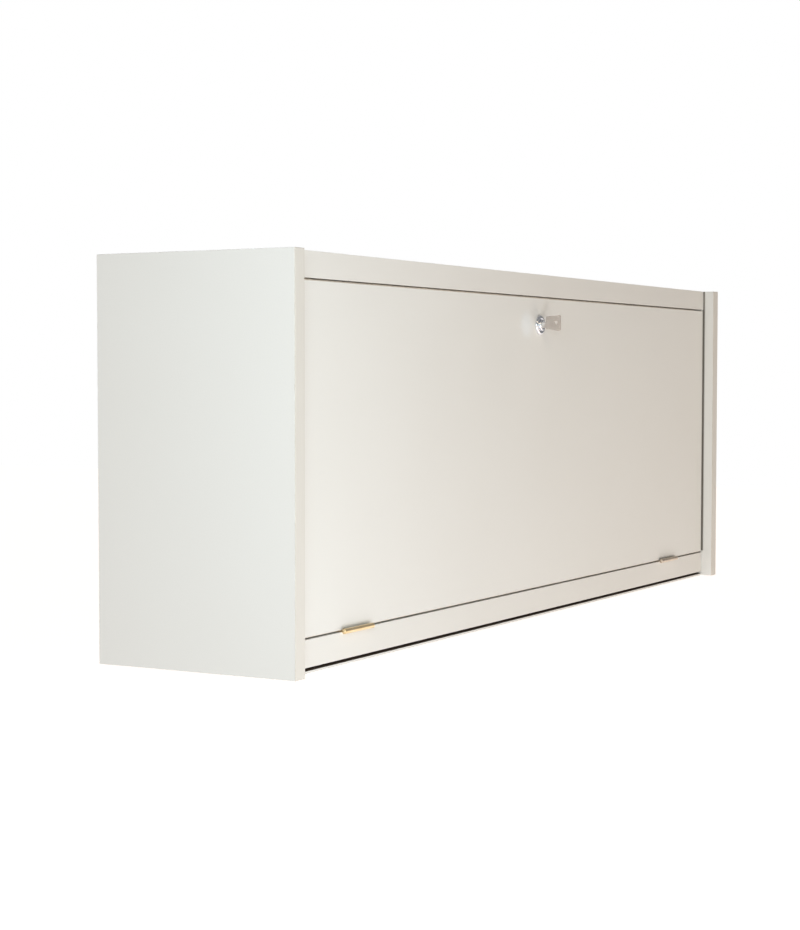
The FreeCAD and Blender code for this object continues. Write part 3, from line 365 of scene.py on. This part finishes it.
def body_and_slot(node):
    """The body that a CAD node rides on and the record's slot of its finish."""
    body = frame["nodes"][node]["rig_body"]
    row = next(part for part in frame["record"]["subparts"] if part["node"] == node)
    return body, row["material_slot"]


def welded(node):
    """A CAD node's shape with its corners joined and its flat faces whole."""
    shape = bmesh.new()
    shape.from_mesh(frame["nodes"][node].data)
    bmesh.ops.remove_doubles(shape, verts=shape.verts, dist=WELD)
    bmesh.ops.dissolve_limit(shape, angle_limit=FLAT, verts=shape.verts, edges=shape.edges)
    for face in shape.faces:
        face.material_index = 0
    return shape


def long_edges(shortest):
    """A test for an edge that is longer than a length."""
    def wanted(edge):
        return edge.calc_length() > shortest
    return wanted


def soften(node, radius, materials, wanted, segments=2, ends=None):
    """A CAD node's shape with the wanted outward edges rounded. The rounded faces take the second
    material, and faces that pass the ends test take the third."""
    shape = welded(node)
    corners = [edge for edge in shape.edges
               if edge.is_manifold and edge.is_convex and edge.calc_face_angle() > SHARP and wanted(edge)]
    made = bmesh.ops.bevel(shape, geom=corners, offset=radius, offset_type="OFFSET", segments=segments,
                           profile=0.5, affect="EDGES", clamp_overlap=True)
    for face in made["faces"]:
        face.material_index = 1
    if ends is not None:
        for face in shape.faces:
            if face.material_index == 0 and ends(face):
                face.material_index = 2
    body, slot = body_and_slot(node)
    keep(f"{node}_finished", shape, materials, body, [node])


# ---------------------------------------------------------------- boards

LONG = 12 * MM             # a board's own edges are longer, those of its bores are shorter
EASED = 0.35 * MM
BAND_ROUND = 0.62 * MM


def faces_back(face):
    """Faces the wall: a raw cut edge on a board."""
    return face.normal.y > ALONG


def faces_up(face):
    """Faces upward."""
    return face.normal.z > ALONG


def finish_boards():
    """Boards with eased corners, white on every side but the cut edges towards the wall."""
    # the side panels' material carries a line of painted shade along the gap by the flap's edge
    for node in ("side_panel_left", "side_panel_right"):
        soften(node, EASED, (SIDE_WHITE, MELAMINE_CORNER, CHIPBOARD), long_edges(LONG), ends=faces_back)
    for node in ("top_panel", "floor_panel", "hanging_rail"):
        soften(node, EASED, (MELAMINE, MELAMINE_CORNER, CHIPBOARD), long_edges(LONG), ends=faces_back)
    for node in ("top_rail", "bottom_rail"):
        soften(node, EASED, (RAIL_WHITE, MELAMINE_CORNER), long_edges(LONG))
    for node in ("stop_block_left", "stop_block_right"):
        soften(node, EASED, (MELAMINE, MELAMINE_CORNER), long_edges(LONG))


def finish_bands():
    """The side panels' front bands, rounded along their front corners."""
    for node in ("side_edge_band_left", "side_edge_band_right"):
        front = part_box(node)[0].y + WELD

        def at_front(edge, front=front):
            return all(corner.co.y < front for corner in edge.verts)

        soften(node, BAND_ROUND, (BAND, BAND_CORNER), at_front, segments=4)


def finish_flap_edging():
    """The band round the flap as one ring: its section runs from the front face, over a rounded
    corner and the edge, to the inner face, and turns square at the flap's four corners."""
    low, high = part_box("flap_edging")
    core_low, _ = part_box("flap_panel")
    thickness = core_low.x - low.x
    section = [(thickness, low.y)]
    steps = 5
    for step in range(steps + 1):
        angle = math.pi / 2 * step / steps
        section.append((BAND_ROUND * (1 - math.sin(angle)), low.y + BAND_ROUND * (1 - math.cos(angle))))
    section += [(inset, low.y + high.y - depth) for inset, depth in reversed(section)]
    broad = (len(section) // 2 - 1, len(section) - 1)      # where the outer and the glued face start
    shape = bmesh.new()
    rings = [[shape.verts.new((x, depth, z))
              for x, z in ((low.x + inset, low.z + inset), (high.x - inset, low.z + inset),
                           (high.x - inset, high.z - inset), (low.x + inset, high.z - inset))]
             for inset, depth in section]
    for index, (ring, following) in enumerate(zip(rings, rings[1:] + rings[:1])):
        for corner in range(4):
            after = (corner + 1) % 4
            face = shape.faces.new((ring[corner], ring[after], following[after], following[corner]))
            face.material_index = 0 if index in broad else 1
    bmesh.ops.recalc_face_normals(shape, faces=shape.faces)
    body, slot = body_and_slot("flap_edging")
    keep("flap_edging_finished", shape, (BAND, BAND_CORNER), body, ["flap_edging"])


def finish_thin_sheets():
    """Back panel: painted inside, raw towards the wall. Bottom board: raw above, darkened to near black as
    painted shade for the slot under the bottom rail, and painted below.
    """
    soften("back_panel", EASED, (PAINTED_HARDBOARD, RAW_HARDBOARD, RAW_HARDBOARD),
           long_edges(LONG), segments=1, ends=faces_back)
    # the upward face takes the near-black hardboard: painted shade in the slot under the bottom rail
    soften("bottom_board", EASED, (PAINTED_HARDBOARD, PAINTED_HARDBOARD, SHADE_DARKENED_HARDBOARD),
           long_edges(LONG), ends=faces_up)


finish_boards()
finish_bands()
finish_flap_edging()
finish_thin_sheets()

# ---------------------------------------------------------------- turned pieces
# A turned piece is a list of rings about its axis: (radius, place along the axis). A radius may
# also be a function of the angle round the axis, for flutes, threads, recesses and flats.

X_AXIS = Vector((1, 0, 0))
Y_AXIS = Vector((0, 1, 0))
Z_AXIS = Vector((0, 0, 1))
SIDEWAYS = ((Y_AXIS, Z_AXIS), (X_AXIS, Z_AXIS), (X_AXIS, Y_AXIS))      # across and up, for each axis


def in_mm(*pairs):
    """Rings or corners given in millimetres, in metres."""
    return [(first * MM, second * MM) for first, second in pairs]


def even_angles(count):
    """Angles round a full turn."""
    return [math.tau * step / count for step in range(count)]


def angles_with(corners, count):
    """Even angles, with the directions of an outline's corners put in among them."""
    exact = [math.atan2(y, x) % math.tau for x, y in corners]
    room = math.tau / count / 3        # an even angle this close to a corner is left out
    spare = [angle for angle in even_angles(count)
             if all(abs((angle - corner + math.pi) % math.tau - math.pi) > room for corner in exact)]
    return sorted(exact + spare)


def star(corners, factor=1):
    """The distance from the middle to a closed outline, as a function of the angle."""
    scaled = [(x * factor, y * factor) for x, y in corners]
    parallel, slack = 1e-12, 1e-6

    def radius(angle):
        across, up = math.cos(angle), math.sin(angle)
        best = 0
        for (x, y), (next_x, next_y) in zip(scaled, scaled[1:] + scaled[:1]):
            side_x, side_y = next_x - x, next_y - y
            facing = across * side_y - up * side_x
            if abs(facing) < parallel:
                continue
            along = (x * up - y * across) / facing
            if -slack <= along <= 1 + slack:
                best = max(best, (x * side_y - y * side_x) / facing)
        return best
    return radius


def rectangle(half_width, half_height):
    """Four corners about the middle."""
    return [(half_width, half_height), (-half_width, half_height),
            (-half_width, -half_height), (half_width, -half_height)]


def cross(reach, half_width):
    """The twelve corners of an upright cross."""
    quarter = [(reach, -half_width), (reach, half_width), (half_width, half_width)]
    corners = []
    for _ in range(4):
        corners += quarter
        quarter = [(-y, x) for x, y in quarter]
    return corners


def threaded(start, end, root, crest, pitch):
    """Rings of a screw thread between two places along the axis."""
    def ring(place):
        def radius(angle):
            phase = (place / pitch - angle / math.tau) % 1
            return root + (crest - root) * (1 - abs(2 * phase - 1))
        return radius

    rings_per_turn = 4
    count = max(2, round((end - start) / pitch * rings_per_turn))
    places = [start + (end - start) * step / count for step in range(count + 1)]
    return [(ring(place), place) for place in places]


def rounded(radius, place, size, steps):
    """Rings of a quarter-round corner, from the flat face to the rim."""
    rings = []
    for step in range(steps + 1):
        angle = math.pi / 2 * step / steps
        rings.append((radius - size * (1 - math.sin(angle)), place + size * (1 - math.cos(angle))))
    return rings


def turn(shape, centre, direction, rings, angles, loop=False):
    """Lay a skin over rings about an axis. A ring of no radius closes an end."""
    axis = max(range(3), key=lambda index: abs(direction[index]))
    across, up = SIDEWAYS[axis]
    laid = []
    for radius, place in rings:
        middle = centre + direction * place
        if radius == 0:
            laid.append([shape.verts.new(middle)])
            continue
        size = radius if callable(radius) else (lambda angle, radius=radius: radius)
        laid.append([shape.verts.new(middle + (across * math.cos(angle) + up * math.sin(angle)) * size(angle))
                     for angle in angles])
    pairs = list(zip(laid, laid[1:]))
    if loop:
        pairs.append((laid[-1], laid[0]))
    count = len(angles)
    for ring, following in pairs:
        for step in range(count):
            after = (step + 1) % count
            if len(ring) == 1:
                shape.faces.new((ring[0], following[step], following[after]))
            elif len(following) == 1:
                shape.faces.new((ring[step], ring[after], following[0]))
            else:
                shape.faces.new((ring[step], ring[after], following[after], following[step]))


def keep_turned(node, shape, material):
    """Keep turned work that stands for one CAD node."""
    bmesh.ops.recalc_face_normals(shape, faces=shape.faces)
    body, slot = body_and_slot(node)
    keep(f"{node}_finished", shape, (material,), body, [node])


def loose_parts(node):
    """The corners of each separate solid in a CAD node."""
    shape = bmesh.new()
    shape.from_mesh(frame["nodes"][node].data)
    bmesh.ops.remove_doubles(shape, verts=shape.verts, dist=WELD)
    seen = set()
    parts = []
    for start in shape.verts:
        if start in seen:
            continue
        seen.add(start)
        part = [start]
        for corner in part:
            for edge in corner.link_edges:
                other = edge.other_vert(corner)
                if other not in seen:
                    seen.add(other)
                    part.append(other)
        parts.append([corner.co.copy() for corner in part])
    shape.free()
    return parts


def extent(part):
    """The lowest and the highest corner of a box round some corners."""
    return [Vector([pick(corner[index] for corner in part) for index in range(3)]) for pick in (min, max)]


def stem(part):
    """Where a long round part starts at its wide end, which way it runs, its length and its radius."""
    low, high = extent(part)
    size = high - low
    axis = max(range(3), key=lambda index: size[index])
    middle = (low + high) / 2

    def width(end):
        radii = []
        for corner in part:
            if abs(corner[axis] - end[axis]) < WELD:
                offset = corner - middle
                offset[axis] = 0
                radii.append(offset.length)
        return max(radii)

    direction = Vector((0, 0, 0))
    head = middle.copy()
    at_low = width(low) >= width(high)
    direction[axis] = 1 if at_low else -1
    head[axis] = low[axis] if at_low else high[axis]
    return head, direction, size[axis], min(size) / 2


# ---------------------------------------------------------------- screws, nails, bolts and dowels

SCREW_CROSS = cross(1.40 * MM, 0.36 * MM)
SCREW_ANGLES = angles_with(SCREW_CROSS, 20)


def recess(depth):
    """Rings of a cross recess, from its narrow bottom to its broken edge in the face of the head."""
    return [(0, depth), (star(SCREW_CROSS, 0.5), depth - 0.08 * MM), (star(SCREW_CROSS), 0.04 * MM),
            (star(SCREW_CROSS, 1.06), 0)]


def finish_screws():
    """Countersunk screws with a cross recess and a coarse thread."""
    for node, material in (("hinge_flap_screws", BRASS), ("hinge_frame_screws", BRASS),
                           ("stay_base_screws", ZINC), ("stay_bracket_screws", ZINC),
                           ("stop_block_screws", ZINC), ("strike_screws", ZINC)):
        shape = bmesh.new()
        for part in loose_parts(node):
            head, direction, length, radius = stem(part)
            rings = recess(1.3 * MM)
            rings += [(radius - 0.15 * MM, 0), (radius - 0.02 * MM, 0.08 * MM)]     # rim of the head
            rings += in_mm((1.45, 0.95), (1.25, 1.5), (1.25, 2.4))                 # countersink and neck
            rings += threaded(start=2.8 * MM, end=length - 3 * MM, root=1.02 * MM, crest=1.48 * MM,
                              pitch=1.25 * MM)
            rings += [(0.85 * MM, length - 1.5 * MM), (0.25 * MM, length - 0.2 * MM), (0, length)]  # point
            turn(shape, head, direction, rings, SCREW_ANGLES)
        keep_turned(node, shape, material)


def finish_cam_screw():
    """The machine screw with a domed head that holds the cam."""
    low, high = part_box("lock_cam_screw")
    head = Vector(((low.x + high.x) / 2, high.y, (low.z + high.z) / 2))
    rings = recess(1.5 * MM)
    # the dome, its rim and its seat, then the thread and the blunt end
    rings += in_mm((2.3, 0.03), (3.1, 0.25), (3.75, 0.75), (4.1, 1.4), (4.2, 2.1), (4.1, 2.2), (1.9, 2.2))
    rings += threaded(start=2.5 * MM, end=7.9 * MM, root=1.6 * MM, crest=1.98 * MM, pitch=0.7 * MM)
    rings += in_mm((1.4, 8.2), (0, 8.2))
    shape = bmesh.new()
    turn(shape, head, -Y_AXIS, rings, SCREW_ANGLES)
    keep_turned("lock_cam_screw", shape, ZINC)


def finish_nails():
    """Flat-headed nails, dished by the hammer, with a ground point."""
    angles = even_angles(16)
    for node in ("back_panel_nails", "bottom_board_nails"):
        shape = bmesh.new()
        for part in loose_parts(node):
            head, direction, length, radius = stem(part)
            # the dished face, the rim of the head, the neck, then the wire and its point
            rings = in_mm((0, 0.14), (0.9, 0.12), (1.25, 0.03))
            rings += [(radius - 0.15 * MM, 0), (radius - 0.02 * MM, 0.12 * MM),
                      (radius - 0.1 * MM, 0.72 * MM)]
            rings += in_mm((0.9, 0.79), (0.78, 1.1))
            rings += [(0.78 * MM, length - 1.8 * MM), (0, length)]
            turn(shape, head, direction, rings, angles)
        keep_turned(node, shape, ZINC)


def finish_bolts():
    """Connector bolts: a ball for the disc to grip, a waist, a shank and a wood thread."""
    angles = even_angles(24)
    shape = bmesh.new()
    for part in loose_parts("connector_bolts"):
        head, direction, length, radius = stem(part)
        shank_end = 24 * MM
        shank_radius = radius - 0.02 * MM
        # the ball and the waist, the shank, the thread and its blunt end
        rings = in_mm((0, 0), (1.5, 0.12), (2.4, 0.6), (2.9, 1.5), (2.9, 2.4), (2.3, 3.2), (1.7, 3.7),
                      (1.6, 7.2), (2.2, 8.4))
        rings += [(shank_radius, 9.2 * MM), (shank_radius, shank_end - 0.4 * MM), (2.6 * MM, shank_end)]
        rings += threaded(start=shank_end + 0.3 * MM, end=length - 1 * MM, root=1.85 * MM,
                          crest=2.48 * MM, pitch=1.6 * MM)
        rings += [(1.2 * MM, length), (0, length)]
        turn(shape, head, direction, rings, angles)
    keep_turned("connector_bolts", shape, ZINC)


def finish_dowels():
    """Fluted beech dowels with chamfered ends."""
    flutes = 16
    chamfer = 0.9 * MM
    angles = even_angles(2 * flutes)
    for node in ("corner_dowels", "rail_dowels"):
        shape = bmesh.new()
        for part in loose_parts(node):
            head, direction, length, radius = stem(part)

            def fluted(angle, radius=radius):
                return radius - 0.02 * MM - 0.16 * MM * (1 - math.cos(flutes * angle))

            rings = [(0, 0), (radius - chamfer, 0), (fluted, chamfer), (fluted, length - chamfer),
                     (radius - chamfer, length), (0, length)]
            turn(shape, head, direction, rings, angles)
        keep_turned(node, shape, BEECH)


def finish_pads():
    """Rubber pads: a soft shoulder round a shallow dish."""
    shape = bmesh.new()
    for part in loose_parts("bumper_pads"):
        low, high = extent(part)
        foot = (low + high) / 2
        foot.y = high.y
        rings = in_mm((0, 0), (5.9, 0), (6, 0.1), (6, 0.6), (5.8, 1.1), (5.3, 1.5), (4.6, 1.7), (3.9, 1.6),
                      (3.3, 1.3), (0, 1.25))
        turn(shape, foot, -Y_AXIS, rings, even_angles(40))
    keep_turned("bumper_pads", shape, RUBBER)


# ---------------------------------------------------------------- lock and key

LOCK_LOW, LOCK_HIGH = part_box("lock_housing")
PLATE = 3 * MM             # the rosette stands this far out of the flap's face
LOCK_MIDDLE = Vector(((LOCK_LOW.x + LOCK_HIGH.x) / 2, LOCK_LOW.y + PLATE, (LOCK_LOW.z + LOCK_HIGH.z) / 2))
KEY_HALF = 1 * MM          # half the key's thickness
KEY_EASE = 0.3 * MM


def finish_lock_housing():
    """Chromed rosette with a rounded rim and a bevelled well, on a threaded barrel."""
    rim = (LOCK_HIGH.x - LOCK_LOW.x) / 2
    # the barrel's rear face, its thread, the back and the rim of the rosette, the lip and the well
    rings = in_mm((7.05, 21.9), (7.2, 22), (8.9, 22))
    rings += reversed(threaded(start=0.8 * MM, end=21.6 * MM, root=8.95 * MM, crest=9.38 * MM,
                               pitch=1.0 * MM))
    rings += in_mm((9.3, 0.1), (9.3, 0))
    rings += [(rim - 0.15 * MM, 0), (rim, -0.12 * MM)]
    rings += reversed(rounded(rim, place=-PLATE, size=2.3 * MM, steps=9))
    rings += [(9.2 * MM, -PLATE), (8.65 * MM, -PLATE)]
    rings += in_mm((8.45, -2.92), (8.3, -2.75), (7.85, -2.0), (7.7, -1.9), (7.2, -1.9), (7.05, -1.75))
    shape = bmesh.new()
    turn(shape, LOCK_MIDDLE, Y_AXIS, rings, even_angles(72), loop=True)
    keep_turned("lock_housing", shape, CHROME)


def finish_lock_plug():
    """The plug: a keyway with a broken edge, a turned line round it and a square for the cam."""
    keyway = rectangle(1.15 * MM, 3.7 * MM)
    mouth = rectangle(1.32 * MM, 3.87 * MM)
    square = rectangle(3.98 * MM, 3.98 * MM)
    radius, front, rear, tail = 7 * MM, -5 * MM, 22.2 * MM, 24.2 * MM
    keyway_end, screw_hole, screw_hole_end = 17 * MM, 2 * MM, 18.2 * MM
    # the keyway, the turned line on the face, the rounded rim and the body, the square, the screw hole
    rings = [(0, keyway_end), (star(keyway), keyway_end), (star(keyway), front + 0.18 * MM),
             (star(mouth), front)]
    rings += in_mm((4.9, -5), (5.0, -4.86), (5.2, -4.86), (5.3, -5))
    rings += rounded(radius, place=front, size=1.3 * MM, steps=7)
    rings += [(radius, rear - 0.15 * MM), (radius - 0.15 * MM, rear), (star(square), rear),
              (star(square), tail - 0.15 * MM), (star(square, 0.965), tail),
              (screw_hole + 0.15 * MM, tail), (screw_hole, tail - 0.15 * MM),
              (screw_hole, screw_hole_end), (0, screw_hole_end)]
    shape = bmesh.new()
    turn(shape, LOCK_MIDDLE, Y_AXIS, rings, angles_with(keyway + mouth + square, 60))
    keep_turned("lock_plug", shape, CHROME)


def finish_lock_nut():
    """The hexagon nut behind the flap, chamfered on its outer face."""
    low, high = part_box("lock_nut")
    reach = (high.x - low.x) / 2
    hexagon = [(reach * math.cos(angle), reach * math.sin(angle)) for angle in even_angles(6)]
    flats = star(hexagon)
    bore, thickness = 9.42 * MM, 3.2 * MM

    def chamfered(angle):
        return min(flats(angle), reach * 0.94)

    rings = [(bore, 0), (flats, 0), (flats, thickness - 0.45 * MM), (chamfered, thickness),
             (10 * MM, thickness), (bore, thickness - 0.4 * MM)]
    shape = bmesh.new()
    foot = Vector((LOCK_MIDDLE.x, low.y, LOCK_MIDDLE.z))
    turn(shape, foot, Y_AXIS, rings, angles_with(hexagon, 72), loop=True)
    keep_turned("lock_nut", shape, CHROME)


def fillet(before, corner, after, radius):
    """Points of a round corner that touches the straight edges on either side of it."""
    steps = 6
    corner = Vector(corner)
    back = (Vector(before) - corner).normalized()
    ahead = (Vector(after) - corner).normalized()
    half = back.angle(ahead) / 2
    middle = corner + (back + ahead).normalized() * radius / math.sin(half)
    start = corner + back * radius / math.tan(half) - middle
    end = corner + ahead * radius / math.tan(half) - middle
    points = []
    for step in range(steps + 1):
        arm = start.lerp(end, step / steps).normalized() * radius
        points.append(tuple(middle + arm))
    return points


def bow_outline():
    """The bow of the key seen from its side, about its hole: across towards the lock, upright up."""
    inner_low, inner_high = in_mm((13.5, -7.5), (13.5, 7.4))
    outer_high, outer_low = in_mm((-5.9, 9.4), (-5.9, -10.5))
    corner_radius = 1.8 * MM
    corners = [inner_low, inner_high]
    corners += fillet(inner_high, outer_high, outer_low, corner_radius)
    corners += fillet(outer_high, outer_low, inner_low, corner_radius)
    return corners


def lay_bow(shape):
    """The bow: a flat plate with eased edges and a round hole."""
    centre = Vector((0, LOCK_MIDDLE.y - 22.5 * MM, LOCK_MIDDLE.z + 3 * MM))
    outline = bow_outline()
    edge = star(outline)
    hole = 2.25 * MM

    def inset(angle):
        return edge(angle) - KEY_EASE

    rings = [(hole, KEY_HALF - KEY_EASE), (hole + KEY_EASE, KEY_HALF), (inset, KEY_HALF),
             (edge, KEY_HALF - KEY_EASE), (edge, KEY_EASE - KEY_HALF), (inset, -KEY_HALF),
             (hole + KEY_EASE, -KEY_HALF), (hole, KEY_EASE - KEY_HALF)]
    turn(shape, centre, X_AXIS, rings, angles_with(outline, 40), loop=True)


def blade_sections():
    """The blade's sections from the bow to its tip: place along Y, lower edge and upper edge."""
    high, low, warded, tip = 3.5 * MM, -3.5 * MM, -2.1 * MM, 1.9 * MM
    ward_pitch, ward_width, slope = 4 * MM, 1.8 * MM, 0.1 * MM
    sections = [(-9.6 * MM, low, high)]
    for ward in range(3):
        start = ward * ward_pitch
        end = start + ward_width
        sections += [(start - slope, low, high), (start + slope, warded, high),
                     (end - slope, warded, high), (end + slope, low, high)]
    return sections + [(14.6 * MM, low, high), (16 * MM, -tip, tip)]


def lay_blade(shape):
    """The blade: a bar with eased edges, a groove on either side and wards along its lower edge."""
    half, ease = KEY_HALF, KEY_EASE
    groove = 0.45 * MM
    laid = []
    for place, bottom, top in blade_sections():
        section = [(-half + ease, bottom), (half - ease, bottom), (half, bottom + ease), (half, -1.2 * MM),
                   (groove, -1.0 * MM), (groove, 0.1 * MM), (half, 0.3 * MM), (half, top - ease),
                   (half - ease, top), (-half + ease, top), (-half, top - ease), (-half, 1.75 * MM),
                   (-groove, 1.55 * MM), (-groove, 0.6 * MM), (-half, 0.4 * MM), (-half, bottom + ease)]
        laid.append([shape.verts.new((x, LOCK_MIDDLE.y + place, LOCK_MIDDLE.z + z)) for x, z in section])
    for ring, following in zip(laid, laid[1:]):
        for step in range(len(ring)):
            after = (step + 1) % len(ring)
            shape.faces.new((ring[step], ring[after], following[after], following[step]))
    shape.faces.new(laid[0])
    shape.faces.new(laid[-1])


def finish_key():
    """A stamped flat key: a bow with a hole, and a grooved blade with wards."""
    shape = bmesh.new()
    lay_bow(shape)
    lay_blade(shape)
    keep_turned("key", shape, NICKEL)


# ---------------------------------------------------------------- hinges and fittings

LEAF_EASE = 0.12 * MM
FITTING_EASE = 0.25 * MM
GUIDE_EASE = 0.3 * MM


def any_edge(edge):
    """Every outward corner is wanted."""
    return True


def finish_hinges():
    """Brass leaves with their sharp corners taken off, and pins with domed ends."""
    # the right hinge is the same brass as the left; its darker, duller copy is painted shade
    for side, brass, edge_brass in (("left", BRASS, BRASS_WORN), ("right", SHADE_PAINTED_BRASS, SHADE_PAINTED_BRASS)):
        for role in ("flap", "frame"):
            soften(f"hinge_{role}_leaf_{side}", LEAF_EASE, (brass, edge_brass), any_edge)
        node = f"hinge_pin_{side}"
        low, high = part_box(node)
        start = Vector((low.x, (low.y + high.y) / 2, (low.z + high.z) / 2))
        length = high.x - low.x
        dome = in_mm((0, 0), (0.9, 0.04), (1.6, 0.22), (2.05, 0.52), (2.15, 0.78), (1.24, 0.79))
        rings = dome + [(radius, length - place) for radius, place in reversed(dome)]
        shape = bmesh.new()
        turn(shape, start, X_AXIS, rings, even_angles(32))
        keep_turned(node, shape, brass)


def finish_fittings():
    """Pressed and cast fittings of the stays, the strike, the cam and the connectors."""
    eases = {"strike_plate": LEAF_EASE, "lock_cam": FITTING_EASE, "connector_discs": FITTING_EASE}
    for side in ("left", "right"):
        for role in ("arm", "bracket", "base"):
            eases[f"stay_{role}_{side}"] = FITTING_EASE
        eases[f"stay_guide_{side}"] = GUIDE_EASE
    for node, ease in eases.items():
        soften(node, ease, (ZINC, ZINC_WORN), any_edge)


finish_screws()
finish_cam_screw()
finish_nails()
finish_bolts()
finish_dowels()
finish_pads()
finish_lock_housing()
finish_lock_plug()
finish_lock_nut()
finish_key()
finish_hinges()
finish_fittings()

# ---------------------------------------------------------------- finishes of the CAD nodes

PLAIN_FINISHES = {
    "white_melamine": MELAMINE,
    "edge_band": BAND,
    "white_hardboard": PAINTED_HARDBOARD,
    "brass": BRASS,
    "chrome_plate": CHROME,
    "nickel_key": NICKEL,
    "zinc_plate": ZINC,
    "beech": BEECH,
    "rubber_pad": RUBBER,
}


def repaint_nodes():
    """Every CAD node gets its finish in its own slots."""
    for node, item in frame["nodes"].items():
        finish = PLAIN_FINISHES[body_and_slot(node)[1]]
        for index in range(len(item.data.materials)):
            item.data.materials[index] = finish


repaint_nodes()

# ---------------------------------------------------------------- floor, camera and lights

FLOOR_DROP = 0.75          # the hinge axis, and so the open flap, lies this high above the floor
FLOOR_HALF = 15            # half the floor's width
HINGE_AXIS = next(joint for joint in frame["joints"] if joint["name"] == "flap_hinge")["pos_m"]


def make_floor():
    """A wide floor plate below the desk."""
    shape = bmesh.new()
    bmesh.ops.create_grid(shape, x_segments=12, y_segments=12, size=FLOOR_HALF)
    mesh = bpy.data.meshes.new("studio_floor")
    shape.to_mesh(mesh)
    shape.free()
    mesh.materials.append(floor_surface())
    floor = bpy.data.objects.new("studio_floor", mesh)
    floor.location.z = HINGE_AXIS[2] - FLOOR_DROP
    bpy.context.scene.collection.objects.link(floor)


def make_camera():
    """The viewpoint: to the left of the desk and a little above its middle, looking along its front."""
    data = bpy.data.cameras.new("main_camera")
    data.sensor_width = 36
    data.lens = 76.8
    data.shift_x = 0.0355
    data.shift_y = 0.0080
    data.clip_start = 0.05
    data.clip_end = 60
    camera = bpy.data.objects.new("main_camera", data)
    camera.location = (-2.2434, -1.2569, -0.0661)
    downward, to_the_right = 2.81, 60.32
    camera.rotation_euler = (math.radians(90 - downward), 0, math.radians(-to_the_right))
    bpy.context.scene.collection.objects.link(camera)
    bpy.context.scene.camera = camera


def add_lamp(data, place, target, colour, power):
    """Put a lamp of some kind in its place, facing its target."""
    data.color = colour
    data.energy = power
    light = bpy.data.objects.new(data.name, data)
    light.location = place
    light.rotation_mode = "QUATERNION"
    light.rotation_quaternion = (Vector(target) - Vector(place)).to_track_quat("-Z", "Y")
    bpy.context.scene.collection.objects.link(light)
    return light


def add_light(name, place, target, size, colour, power):
    """A soft oblong light that the camera doesn't see."""
    data = bpy.data.lights.new(name, "AREA")
    data.shape = "RECTANGLE"
    data.size, data.size_y = size
    add_lamp(data, place, target, colour, power).visible_camera = False


def add_glint(name, place, target, spread, colour, power):
    """A faint round patch of light, as bright metal throws on a surface beside it."""
    data = bpy.data.lights.new(name, "SPOT")
    data.spot_size = spread
    data.spot_blend = 1
    data.shadow_soft_size = 0.004
    add_lamp(data, place, target, colour, power)


def make_world(ambient, mirrored):
    """White where the camera looks past the object, a dim room on its surfaces and a brighter one
    in what shines."""
    world = bpy.data.worlds.new("studio")
    bpy.context.scene.world = world
    world.use_nodes = True
    tree = world.node_tree
    tree.nodes.clear()
    ray = tree.nodes.new("ShaderNodeLightPath")

    def lit(strength):
        room = tree.nodes.new("ShaderNodeBackground")
        room.inputs["Color"].default_value = (1, 1, 1, 1)
        room.inputs["Strength"].default_value = strength
        return room.outputs["Background"]

    def chosen(kind, otherwise, shader):
        mix = tree.nodes.new("ShaderNodeMixShader")
        tree.links.new(ray.outputs[kind], mix.inputs["Fac"])
        tree.links.new(otherwise, mix.inputs[1])
        tree.links.new(shader, mix.inputs[2])
        return mix.outputs["Shader"]

    output = tree.nodes.new("ShaderNodeOutputWorld")
    room = chosen("Is Camera Ray", chosen("Is Glossy Ray", lit(ambient), lit(mirrored)), lit(1))
    tree.links.new(room, output.inputs["Surface"])


make_floor()
make_camera()
make_world(ambient=0.02, mirrored=0.30)
add_light("upper_left", place=(-2.3, -2.5, 2.0), target=(0, -0.2, -0.1), size=(0.9, 0.9),
          colour=(1, 0.86, 0.64), power=17.5)
add_light("low_left", place=(-1.3, -1.8, -0.95), target=(-0.1, -0.2, -0.2), size=(0.9, 0.6),
          colour=(1, 0.88, 0.68), power=5.5)
add_light("low_right", place=(0.8, -1.5, -1.0), target=(-0.1, -0.2, -0.25), size=(0.6, 0.6),
          colour=(1, 0.82, 0.53), power=4.0)
add_light("near_left", place=(-1.5, -0.8, 0.1), target=(-0.6, -0.2, -0.15), size=(0.5, 0.5),
          colour=(0.75, 0.93, 1), power=7.1)
add_light("front_left", place=(-0.75, -0.95, -0.75), target=(-0.45, -0.24, -0.25), size=(0.5, 0.4),
          colour=(0.76, 0.88, 1), power=2.2)
add_light("rear_fill", place=(0.6, 2.6, 1.5), target=(0, 0, -0.1), size=(1.6, 1.6),
          colour=(1, 1, 1), power=35)
add_light("overhead", place=(0, 0.6, 2.4), target=(0, 0.1, 0), size=(1.6, 1.2),
          colour=(1, 1, 1), power=24)
add_light("inside_fill", place=(0, -0.12, -0.30), target=(0, -0.12, 0.1), size=(1.05, 0.1),
          colour=(1, 0.84, 0.68), power=0.8)
add_glint("lock_glint", place=(-0.17, -0.50, 0.02), target=LOCK_MIDDLE - 0.037 * X_AXIS, spread=0.13,
          colour=(0.4, 0.7, 1), power=0.55)
add_light("right_fill", place=(3.0, 0.9, 0.9), target=(0.6, 0, -0.1), size=(1.2, 1.2),
          colour=(1, 0.98, 0.95), power=25)
bpy.context.scene.view_settings.view_transform = "Standard"
